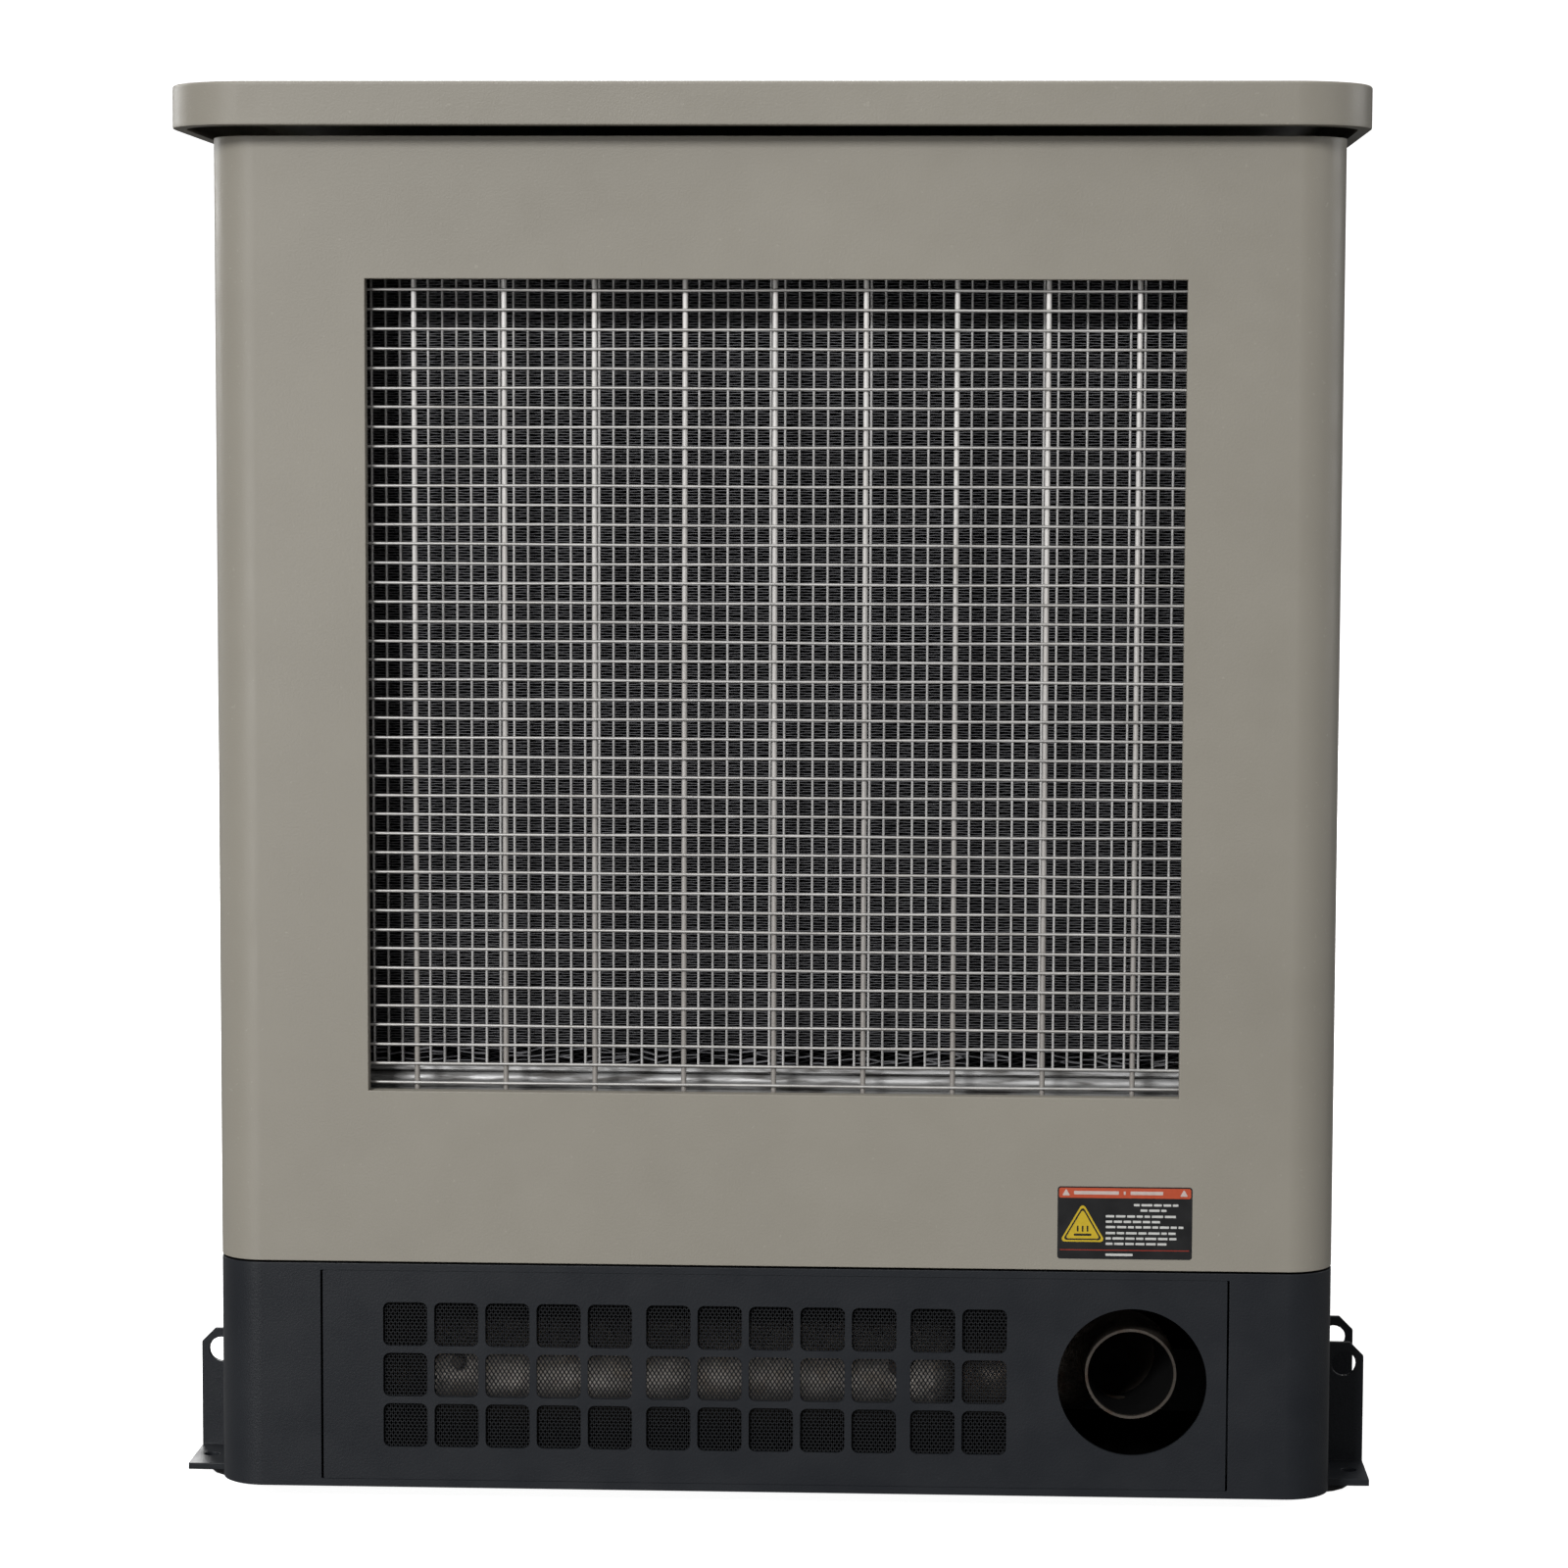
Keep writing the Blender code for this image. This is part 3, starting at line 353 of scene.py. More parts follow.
def tube(path, radius, steps=12, wall=0.0):
    """A round tube along a list of points, open right through if it has a wall."""
    shape = bmesh.new()
    path = [Vector(p) for p in path]
    side, outer, inner = None, [], []
    for i, here in enumerate(path):
        direction = (path[min(i + 1, len(path) - 1)] - path[max(i - 1, 0)]).normalized()
        side = side or direction.orthogonal().normalized()
        side = (side - side.dot(direction) * direction).normalized()
        up = direction.cross(side)
        turns = [side * cos + up * sin for cos, sin in circle(0, 0, 1, steps)]
        outer.append([shape.verts.new(here + turn * radius) for turn in turns])
        if wall:
            inner.append([shape.verts.new(here + turn * (radius - wall)) for turn in turns])
    if wall:
        skin(shape, [*outer, *inner[::-1], outer[0]])
    else:
        skin(shape, outer)
        shape.faces.new(outer[0])
        shape.faces.new(outer[-1])
    return shape


def merged(*shapes):
    """Several shapes as one mesh, with no Boolean."""
    whole = bmesh.new()
    for shape in shapes:
        bmesh.ops.recalc_face_normals(shape, faces=shape.faces)
        mesh = bpy.data.meshes.new("part")
        shape.to_mesh(mesh)
        shape.free()
        whole.from_mesh(mesh)
        bpy.data.meshes.remove(mesh)
    return whole


def added(name, data):
    """A new object in the scene."""
    made = bpy.data.objects.new(name, data)
    bpy.context.scene.collection.objects.link(made)
    return made


def evaluated(made):
    """A new mesh of the object with its modifiers applied."""
    graph = bpy.context.evaluated_depsgraph_get()
    return bpy.data.meshes.new_from_object(made.evaluated_get(graph))


def holder(name, shape):
    """An object in the scene that holds the shape."""
    bmesh.ops.recalc_face_normals(shape, faces=shape.faces)
    mesh = bpy.data.meshes.new(name)
    shape.to_mesh(mesh)
    shape.free()
    return added(name, mesh)


def piece(name, shape, finish, stands_for=(), body="base", bevel=0.0, segments=2, angle=35):
    """Makes a shown piece that rides on a body. Its edges get a small round if bevel is given."""
    made = holder(name, shape)
    if bevel:
        sharp_edged = made.data
        rounding = made.modifiers.new("Bevel", "BEVEL")
        rounding.width = bevel
        rounding.segments = segments
        rounding.limit_method = "ANGLE"
        rounding.angle_limit = math.radians(angle)
        made.data = evaluated(made)
        made.modifiers.clear()
        bpy.data.meshes.remove(sharp_edged)
        made.data.name = name
    made.data.shade_smooth()
    made.data.set_sharp_from_angle(angle=math.radians(angle))
    flat = made.modifiers.new("WeightedNormal", "WEIGHTED_NORMAL")
    flat.mode = "FACE_AREA"
    flat.weight = 100
    flat.keep_sharp = True
    material, slot = (FINISHES[finish], finish) if isinstance(finish, str) else finish
    made.data.materials.clear()
    made.data.materials.append(material)
    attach(made, body)
    if stands_for:
        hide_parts(*stands_for)


def cut(shape, cutter):
    """The shape less the cutter."""
    base, tool = holder("base", shape), holder("tool", cutter)
    modifier = base.modifiers.new("Boolean", "BOOLEAN")
    modifier.operation = "DIFFERENCE"
    modifier.solver = "EXACT"
    modifier.object = tool
    made = bmesh.new()
    made.from_mesh(evaluated(base))
    bpy.data.objects.remove(tool)
    bpy.data.objects.remove(base)
    return made


def from_node(node):
    """A CAD node's mesh, with its split vertices welded and its flat faces made whole."""
    shape = bmesh.new()
    shape.from_mesh(frame["nodes"][node].data)
    bmesh.ops.remove_doubles(shape, verts=shape.verts, dist=2e-5)
    bmesh.ops.dissolve_limit(shape, angle_limit=math.radians(0.5), verts=shape.verts, edges=shape.edges)
    return shape


# ---- Carried-over solids, with rounded edges and their own finish ----
ROUND_WIDTHS = {
    0.0003: "hinge_left hinge_right",
    0.0004: "roof_hinge",
    0.0005: "plinth_side_left plinth_side_right dipstick",
    0.0006: "rear_panel plinth_rear lift_bracket_front_left lift_bracket_front_right lift_bracket_rear_left "
            "lift_bracket_rear_right",
    0.0008: "fan_shroud crank_pulley fan_pulley",
    0.0010: "control_box crankshaft water_pump fan_belt breaker_lever",
    0.0015: "top_rail_left top_rail_right base_frame radiator_cap stop_button latch_left latch_right "
            "foot_pad_front_left foot_pad_front_right foot_pad_rear_left foot_pad_rear_right",
    0.002: "alternator_rotor",
    0.003: "exhaust_manifold battery fuel_regulator alternator_housing air_cleaner",
    0.004: "radiator_top_tank oil_filter",
    0.005: "engine_block cylinder_head",
    0.006: "valve_cover oil_pan",
}
for round_width, nodes in ROUND_WIDTHS.items():
    for node in nodes.split():
        piece(node + "_finished", from_node(node), SLOT_OF[node], [node], BODY_OF[node], bevel=round_width)


# ---- Front panel ----
SHEET = 0.002
CORNER = 0.035


def end_outline(front, back):
    """Plan of an end panel with round corners and side returns, one sheet thick."""
    def path(inset):
        made = [(-HALF_W + inset, back)]
        for centre, i in ((-HALF_W + CORNER, 2), (HALF_W - CORNER, 3)):
            made += arc(centre, front + CORNER, CORNER - inset, i * QUARTER, (i + 1) * QUARTER, 16)
        return [*made, (HALF_W - inset, back)]
    return path(0.0) + path(SHEET)[::-1]


# The opening in the CAD panel. The fold stands one sheet outside it.
OPENING = (-0.2995, 0.2995, 0.3106, 0.9087)


def front_panel():
    left, right, bottom, top = OPENING
    shell = prism(end_outline(FRONT, FRONT_HIGH.y), "z", FRONT_LOW.z, FRONT_HIGH.z)
    return cut(shell, box(left, right, FRONT - 0.01, FRONT + 0.03, bottom, top))


def opening_fold():
    """The inward fold of the sheet round the opening, with a small bend radius."""
    left, right, bottom, top = OPENING
    depth, radius, proud = 0.012, 0.0016, 0.0003
    shape = bmesh.new()

    def ring(grow, y):
        outline = ((left - grow, bottom - grow), (right + grow, bottom - grow), (right + grow, top + grow),
                   (left - grow, top + grow))
        return [shape.verts.new((x, y, z)) for x, z in outline]
    rings = [ring(radius * (1 - math.cos(a)) - proud, FRONT + radius * (1 - math.sin(a)))
             for a in (0, math.pi / 6, math.pi / 3, QUARTER)]
    rings += [ring(0, FRONT + depth), ring(SHEET, FRONT + depth), ring(SHEET, FRONT + SHEET * 0.6)]
    skin(shape, [*rings, rings[0]])
    return shape


piece("front_panel_sheet", front_panel(), "taupe_paint", ["front_panel"], bevel=0.0006)
piece("opening_fold", opening_fold(), "taupe_paint")


# ---- Roof ----
def roof_lid():
    """A tray with soft folded edges and a turned-in lip, crowned a little so that rain runs off."""
    low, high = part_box("roof")
    corner, edge, lip, crown = 0.059, 0.0022, 0.010, 0.0004
    brow = high.z - crown
    shape = bmesh.new()

    def ring(inset, z):
        outline = rounded(low.x + inset, high.x - inset, low.y + inset, high.y - inset,
                          max(corner - inset, 0.004), 14)
        return [shape.verts.new((x, y, z)) for x, y in outline]
    outside = [ring(lip, low.z + SHEET), ring(lip, low.z), ring(0.0015, low.z), ring(0.0003, low.z + 0.0006),
               ring(0, low.z + 0.0018)]
    for i in range(7):
        angle = i / 6 * QUARTER
        outside.append(ring(edge * (1 - math.cos(angle)), brow - edge + edge * math.sin(angle)))
    for inset in (0.030, 0.060, 0.120, 0.200, 0.300):
        outside.append(ring(inset, brow + crown * min(1.0, inset / 0.300)))
    inside = [ring(0.300, high.z - SHEET), ring(SHEET + edge, brow - SHEET), ring(SHEET, brow - edge),
              ring(SHEET, low.z + SHEET)]
    skin(shape, outside)
    skin(shape, inside)
    skin(shape, [outside[0], inside[-1]])
    shape.faces.new(outside[-1])
    shape.faces.new(inside[0])
    return shape


piece("roof_lid", roof_lid(), "taupe_paint", ["roof"], "roof", angle=30)


# ---- Plinth front: surround, vent panel, expanded mesh ----
PLINTH_LOW, PLINTH_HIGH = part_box("plinth_front")
PANEL_LOW, PANEL_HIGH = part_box("vent_panel")
SEAM, SEAM_LAP = 0.0015, 0.0014
VENT_SIZE, VENT_RADIUS, VENT_PITCH = 0.033, 0.0052, 0.0382
VENT_GROUPS, VENT_GROUP_GAP = (5, 5, 2), 0.0053
VENT_LEFT = PANEL_LOW.x + 0.0451
VENT_ROW_TOPS = (0.1520, 0.1137, 0.0756)
OUTLET_X, OUTLET_Z, OUTLET_RADIUS = 0.267, 0.0987, 0.055
FLANGE = (-0.405, 0.405, FRONT + 0.0035, FRONT + 0.068, 0.030, 8)


def plinth_surround():
    window = box(PANEL_LOW.x - SEAM, PANEL_HIGH.x + SEAM, PLINTH_LOW.y - 0.01, PLINTH_LOW.y + 0.01,
                 PANEL_LOW.z - SEAM, PANEL_HIGH.z + SEAM)
    return cut(prism(end_outline(PLINTH_LOW.y, PLINTH_HIGH.y), "z", PLINTH_LOW.z, PLINTH_HIGH.z), window)


def plate_with_holes(outline, holes, y, thickness):
    """A flat plate in the XZ plane, cut by the hole outlines."""
    curve = bpy.data.curves.new("plate", "CURVE")
    curve.dimensions = "2D"
    curve.fill_mode = "BOTH"
    curve.extrude = thickness / 2
    for loop in (outline, *holes):
        spline = curve.splines.new("POLY")
        spline.points.add(len(loop) - 1)
        for point, (u, v) in zip(spline.points, loop):
            point.co = (u, v, 0, 1)
        spline.use_cyclic_u = True
    made = added("plate", curve)
    shape = bmesh.new()
    shape.from_mesh(evaluated(made))
    bpy.data.objects.remove(made)
    bmesh.ops.remove_doubles(shape, verts=shape.verts, dist=1e-6)
    turn = Matrix.Translation((0, y + thickness / 2, 0)) @ Matrix.Rotation(QUARTER, 4, "X")
    bmesh.ops.transform(shape, matrix=turn, verts=shape.verts)
    return shape


def vent_outlines():
    left = VENT_LEFT
    for count in VENT_GROUPS:
        for _ in range(count):
            for top in VENT_ROW_TOPS:
                yield rounded(left, left + VENT_SIZE, top - VENT_SIZE, top, VENT_RADIUS)
            left += VENT_PITCH
        left += VENT_GROUP_GAP


def vent_panel():
    """The louvre panel. It laps the seams above and below it, so no light comes through them."""
    outline = rounded(PANEL_LOW.x, PANEL_HIGH.x, PANEL_LOW.z - SEAM_LAP, PANEL_HIGH.z + SEAM_LAP, 0.0008, 2)
    outlet = circle(OUTLET_X, OUTLET_Z, OUTLET_RADIUS, 96)
    return plate_with_holes(outline, [*vent_outlines(), outlet], FRONT + 0.0002, PANEL_HIGH.y - FRONT)


def expanded_mesh():
    """Diamond mesh: flat strands that lean both ways and meet at their ends."""
    low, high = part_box("vent_mesh")
    wide, tall, strand, thickness = 0.0032, 0.0050, 0.00042, 0.0004
    y = (low.y + high.y) / 2
    shape = bmesh.new()

    def strut(start, end):
        run = Vector(end) - Vector(start)
        across = Vector((-run.z, 0, run.x)).normalized() * strand
        depth = Vector((0, thickness, 0))
        section = (across - depth, across + depth, -across + depth, -across - depth)
        skin(shape, [[shape.verts.new(Vector(point) + offset) for offset in section] for point in (start, end)])
    for i in range(int((high.x - low.x) / wide)):
        for j in range(int((high.z - low.z) / tall)):
            x, z = low.x + i * wide, low.z + j * tall
            corners = [(x, y, z + tall / 2), (x + wide / 2, y, z), (x + wide, y, z + tall / 2),
                       (x + wide / 2, y, z + tall)]
            for start, end in zip(corners, [*corners[1:], corners[0]]):
                strut(start, end)
    return shape


piece("plinth_surround", plinth_surround(), "dark_paint", ["plinth_front"], bevel=0.0006)
piece("plinth_flange", prism(rounded(*FLANGE), "z", 0.0125, 0.0140), "dark_paint", bevel=0.0004)
piece("vent_panel_sheet", vent_panel(), "dark_paint", ["vent_panel"], bevel=0.0003, segments=1)
piece("expanded_mesh", expanded_mesh(), MESH_STEEL, ["vent_mesh"])


# ---- Radiator guard ----
GUARD_LOW, GUARD_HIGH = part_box("radiator_guard")
WIRE_R, UPRIGHT_R = 0.0011, 0.0020
WIRE_COUNT, UPRIGHT_COUNT = 42, 9
UPRIGHT_PITCH = 0.0664
WIRE_BOTTOM, WIRE_TOP = GUARD_LOW.z + 0.014, GUARD_HIGH.z - 0.014


def guard_wires():
    """Round wires in front of the uprights, each a little off true."""
    wires = []
    front = GUARD_LOW.y + WIRE_R
    pitch = (WIRE_TOP - WIRE_BOTTOM) / (WIRE_COUNT - 1)
    for i in range(WIRE_COUNT):
        z = WIRE_BOTTOM + i * pitch
        phase, sag = random.uniform(0, math.tau), random.uniform(0.0001, 0.0004)
        span = []
        for j in range(37):
            x = GUARD_LOW.x + (GUARD_HIGH.x - GUARD_LOW.x) * j / 36
            span.append((x, front, z + sag * math.sin(phase + x * 19)))
        wires.append(tube(span, WIRE_R, 8))
    return merged(*wires)


def guard_uprights():
    """The upright wires, each leaning a little, and the frame wire round them all."""
    wires = []
    back = GUARD_LOW.y + 2 * WIRE_R + UPRIGHT_R - 0.0002
    for i in range(UPRIGHT_COUNT):
        x = (i - (UPRIGHT_COUNT - 1) / 2) * UPRIGHT_PITCH
        lean = random.uniform(-0.0006, 0.0006)
        span = [(x + lean * (j / 12 - 0.5), back, GUARD_LOW.z + (GUARD_HIGH.z - GUARD_LOW.z) * j / 12)
                for j in range(13)]
        wires.append(tube(span, UPRIGHT_R))
    for z in (GUARD_LOW.z + 0.002, GUARD_HIGH.z - 0.002):
        wires.append(tube([(x, back, z) for x in (GUARD_LOW.x, 0, GUARD_HIGH.x)], UPRIGHT_R, 10))
    for x in (GUARD_LOW.x + 0.002, GUARD_HIGH.x - 0.002):
        wires.append(tube([(x, back, z) for z in (GUARD_LOW.z, 0.6, GUARD_HIGH.z)], UPRIGHT_R, 10))
    return merged(*wires)


piece("guard_wires", guard_wires(), "bright_wire", ["radiator_guard"], angle=60)
piece("guard_uprights", guard_uprights(), UPRIGHT_METAL, angle=60)


# ---- Radiator core ----
CORE_LOW, CORE_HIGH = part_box("radiator_core")
CORE_MID = (CORE_LOW.y + CORE_HIGH.y) / 2
CORE_TALL = CORE_HIGH.z - CORE_LOW.z
TUBE_WIDTH = 0.0018
GAPS = int((CORE_HIGH.x - CORE_LOW.x) / 0.0105)
TUBE_STEP = (CORE_HIGH.x - CORE_LOW.x - TUBE_WIDTH) / GAPS
FIN_PITCH, FIN_THICKNESS = 0.0040, 0.00024
FOLDS = int(CORE_TALL / (FIN_PITCH / 2))
FOLD_SLACK, FOLD_TILT = 0.00022, 0.25
CRUSHED_FOLDS, TORN_SHARE, CRUSH = 6, 0.45, 0.0013


def core_tubes():
    """Flat tubes from tank to tank, each with a rounded nose."""
    tubes = []
    for i in range(GAPS + 1):
        x = CORE_LOW.x + TUBE_WIDTH / 2 + i * TUBE_STEP
        nose = rounded(x - TUBE_WIDTH / 2, x + TUBE_WIDTH / 2, CORE_LOW.y, CORE_HIGH.y, 0.0009, 3)
        tubes.append(prism(nose, "z", CORE_LOW.z, CORE_HIGH.z))
    return merged(*tubes)


def core_gaps():
    """The left and right edge of each gap between two tubes."""
    for i in range(GAPS):
        left = CORE_LOW.x + TUBE_WIDTH + i * TUBE_STEP
        yield left, left + TUBE_STEP - TUBE_WIDTH


def core_fins(front, back, shift):
    """A folded strip in each gap, its folds slightly uneven. A row with a shift folds the other way."""
    shape = bmesh.new()
    for left, right in core_gaps():
        if shift:
            left, right = right, left
        drift = random.uniform(-0.0006, 0.0006)
        previous = None
        for j in range(FOLDS + 1):
            x = left if j % 2 else right
            z = CORE_LOW.z + CORE_TALL * j / FOLDS
            if 0 < j < FOLDS:
                z += random.uniform(-FOLD_SLACK, FOLD_SLACK) + (drift if 2 < j < FOLDS - 2 else 0) * 0.3
            pair = (shape.verts.new((x, front, z)), shape.verts.new((x, back, z)))
            if previous:
                shape.faces.new((previous[0], pair[0], pair[1], previous[1]))
            previous = pair
    return shape


def fin_edges(front):
    """The thin front edges of the folds. Near the bottom tank they are crushed and torn."""
    shape = bmesh.new()
    for left, right in core_gaps():
        heights = [CORE_LOW.z + CORE_TALL * j / FOLDS + random.uniform(-1, 1) * FOLD_SLACK for j in range(FOLDS + 1)]
        for j in range(1, FOLDS - 1):
            low = heights[j]
            high = low + (heights[j + 1] - low) * FOLD_TILT
            thick = FIN_THICKNESS
            if j < CRUSHED_FOLDS:
                if random.random() < TORN_SHARE:
                    continue
                low += random.uniform(-1, 1) * CRUSH
                high += random.uniform(-1, 1) * CRUSH
                thick *= random.uniform(1.0, 3.0)
            start, end = (left, right) if j % 2 else (right, left)
            bow = random.uniform(-1, 1) * FOLD_SLACK
            points = [(start, low), ((start + end) / 2, (low + high) / 2 + bow), (end, high)]
            pairs = [(shape.verts.new((x, front, z - thick)), shape.verts.new((x, front, z + thick)))
                     for x, z in points]
            for near, far in zip(pairs, pairs[1:]):
                shape.faces.new((near[0], far[0], far[1], near[1]))
    return shape


def bottom_tank():
    """A pressed tank: a turned lip under the core, a full roll, and a flange below it."""
    low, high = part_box("radiator_bottom_tank")
    front, back = low.y + 0.0005, high.y - 0.0005
    profile = [(front + 0.004, high.z), (front + 0.0005, high.z - 0.0012), (front, high.z - 0.0035),
               (front + 0.0018, high.z - 0.0050)]
    for i in range(9):
        angle = math.radians(70 - i * 140 / 8)
        profile.append((front + 0.0095 - 0.0085 * math.cos(angle), high.z - 0.0115 + 0.0068 * math.sin(angle)))
    profile += [(front + 0.0015, high.z - 0.0195), (front, high.z - 0.0215), (front, low.z + 0.002),
                (front + 0.002, low.z), (back - 0.002, low.z), (back, low.z + 0.002), (back, high.z - 0.004),
                (back - 0.004, high.z)]
    return prism(profile, "x", low.x, high.x)


piece("radiator_tubes", core_tubes(), TUBE_METAL, ["radiator_core"], angle=50)
for row, start, end in ((0, CORE_LOW.y + 0.0015, CORE_MID - 0.001), (1, CORE_MID + 0.001, CORE_HIGH.y - 0.001)):
    piece(f"radiator_fins_{row}", core_fins(start, end, row), FIN_METAL, angle=10)
piece("radiator_fin_edges", fin_edges(CORE_LOW.y + 0.0012), FIN_EDGE)
piece("bottom_tank", bottom_tank(), TANK_METAL, ["radiator_bottom_tank"], angle=40)


# ---- Hoses, exhaust and muffler ----
TANK_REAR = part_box("radiator_top_tank")[1].y - 0.014
ENGINE_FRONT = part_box("cylinder_head")[0].y
MUFFLER_LOW, MUFFLER_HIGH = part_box("muffler")
MUFFLER_MID = (MUFFLER_LOW + MUFFLER_HIGH) / 2
PIPE_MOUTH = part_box("tail_pipe")[0].y
PIPE_BEND = (0.258, MUFFLER_MID.y - 0.050, 0.0965)
PIPE_STRAIGHT = (OUTLET_X, FRONT + 0.075, OUTLET_Z)
HOSE_RADIUS = 0.021

# Name, finish, the node it stands for, radius, wall, steps round, and the points it runs through.
PIPES = [
    ("radiator_hose_upper", "rubber", "upper_hose", HOSE_RADIUS, 0.0, 28,
     [(0.200, TANK_REAR + 0.0145, 0.957), (0.200, -0.665, 0.957), (0.190, -0.608, 0.915), (0.140, -0.592, 0.780),
      (0.100, -0.590, 0.680), (0.092, -0.583, 0.615), (0.088, ENGINE_FRONT, 0.603)]),
    ("radiator_hose_lower", "rubber", "lower_hose", HOSE_RADIUS, 0.0, 28,
     [(0.240, TANK_REAR + 0.0145, 0.290), (0.240, -0.680, 0.290), (0.225, -0.610, 0.330), (0.200, -0.550, 0.430),
      (0.1303, -0.520, 0.460)]),
    ("exhaust_tail_pipe", "exhaust_steel", "tail_pipe", 0.034, 0.0020, 48,
     [(MUFFLER_HIGH.x, MUFFLER_MID.y, 0.064), (0.170, MUFFLER_MID.y - 0.002, 0.067),
      (0.222, MUFFLER_MID.y - 0.014, 0.083), PIPE_BEND, PIPE_STRAIGHT, (OUTLET_X, PIPE_MOUTH, OUTLET_Z)]),
    ("exhaust_down_pipe", "exhaust_steel", "exhaust_downpipe", 0.022, 0.0, 28,
     [(-0.2015, -0.460, 0.560), (-0.250, -0.465, 0.545), (-0.285, -0.480, 0.460), (-0.302, -0.540, 0.250),
      (-0.306, -0.640, 0.100), (-0.300, MUFFLER_MID.y, MUFFLER_MID.z), (MUFFLER_LOW.x, MUFFLER_MID.y, MUFFLER_MID.z)]),
    ("fuel_inlet", "exhaust_steel", "fuel_inlet_pipe", 0.012, 0.002, 24,
     [(0.2155, 0.7555, 0.150), (0.240, 0.790, 0.130), (0.300, 0.815, 0.100), (0.355, 0.835, 0.100),
      (0.355, 0.862, 0.100)]),
]
for name, finish, node, radius, wall, steps, points in PIPES:
    piece(name, tube(smooth_path(points), radius, steps, wall), finish, [node], angle=50)
piece("exhaust_soot", tube([(OUTLET_X, PIPE_MOUTH + 0.003, OUTLET_Z), PIPE_STRAIGHT, PIPE_BEND], 0.0317, 40, 0.0004),
      SOOT_AND_PAINTED_SHADOW, angle=50)


def hose_clamp(name, x, z):
    """A worm-drive band round a hose on the tank, with its screw housing."""
    y, inner, half, band_thickness, housing_size = TANK_REAR + 0.024, HOSE_RADIUS + 0.0003, 0.0055, 0.0012, 0.008
    outer = inner + band_thickness
    band = revolve([(inner, -half), (outer, -half), (outer, half), (inner, half)], (x, y, z), steps=36)
    housing = prism(rounded(x - housing_size, x + housing_size, z + inner, z + inner + housing_size, 0.003, 3),
                    "y", y - half, y + half)
    piece(name, merged(band, housing), FASTENER, angle=50)


hose_clamp("clamp_upper_tank", 0.200, 0.957)
hose_clamp("clamp_lower_tank", 0.240, 0.290)


def muffler_body():
    """An oval can with rolled seams near its ends and dished end caps."""
    deep, high = (MUFFLER_HIGH.y - MUFFLER_LOW.y) / 2, (MUFFLER_HIGH.z - MUFFLER_LOW.z) / 2
    start, end = MUFFLER_LOW.x, MUFFLER_HIGH.x
    cap = ((0, 0.40), (0.002, 0.86), (0.006, 0.965), (0.012, 1.0), (0.017, 1.0), (0.020, 0.972))
    shape = bmesh.new()
    rings = [[shape.verts.new((x, MUFFLER_MID.y + deep * u, MUFFLER_MID.z + high * v))
              for u, v in circle(0, 0, share, 72)]
             for x, share in [(start + d, share) for d, share in cap] + [(end - d, share) for d, share in cap[::-1]]]
    skin(shape, rings)
    shape.faces.new(rings[0])
    shape.faces.new(rings[-1])
    return shape


piece("muffler_can", muffler_body(), MUFFLER_METAL, ["muffler"], angle=40)
for side, x in (("left", MUFFLER_LOW.x + 0.030), ("right", MUFFLER_HIGH.x - 0.045)):
    stud = turned([(0.0045, -0.010), (0.005, -0.008), (0.005, 0.0)],
                  (x, MUFFLER_LOW.y + 0.0135, MUFFLER_MID.z + 0.026), "y", 20)
    piece("muffler_stud_" + side, stud, "exhaust_steel", angle=50)


# ---- Doors: louvre hoods, foam, hinges, latches ----
LOUVRE_BANKS, LOUVRE_LENGTH = (0.080, 0.370), 0.240
LOUVRE_BOTTOM, LOUVRE_PITCH, LOUVRE_ROWS = 0.300, 0.045, 8
HINGE_X, HINGE_Y, HINGE_HEIGHTS = 0.4195, 0.787, (0.270, 0.580, 0.890)
KNUCKLE = 0.020
LATCH_LOCK = (0.4254, -0.52, 0.600)


def louvre_hood(sign, face, y0, y1, z, reach=0.006):
    """A half-round hood that turns rain away from one slot, open below."""
    shape = bmesh.new()
    top, bottom = z + 0.020, z - 0.001
    profile = [(0.0, top), (reach * 0.45, top - 0.003), (reach * 0.85, top - 0.009), (reach, bottom),
               (reach - 0.0012, bottom), (reach * 0.85 - 0.0012, top - 0.010), (reach * 0.40 - 0.001, top - 0.005)]
    rows = [[shape.verts.new((face + sign * (0.0001 + out * share), y, height)) for out, height in profile]
            for y, share in ((y0 - 0.006, 0.15), (y0 - 0.003, 0.75), (y0 + 0.002, 1.0), (y1 - 0.002, 1.0),
                             (y1 + 0.003, 0.75), (y1 + 0.006, 0.15))]
    skin(shape, rows)
    shape.faces.new(rows[0])
    shape.faces.new(rows[-1])
    return shape


def hinge_knuckles(sign):
    """Three lift-off hinges on the door's pin line, as the body's knuckles and the door's."""
    fixed, swinging = [], []
    for z in HINGE_HEIGHTS:
        for i in range(4):
            (swinging if i % 2 else fixed).append(turned(
                [(0.0036, 0.0006), (0.0042, 0.0014), (0.0042, 0.0186), (0.0036, 0.0194)],
                (sign * HINGE_X, HINGE_Y, z + (i - 2) * KNUCKLE), "z", 20))
    return merged(*fixed), merged(*swinging)


def foam_sheet(name, body, *limits):
    """Sound foam that stands off the louvres, so that air passes behind it."""
    piece(name, box(*limits), FOAM, body=body, bevel=0.003)


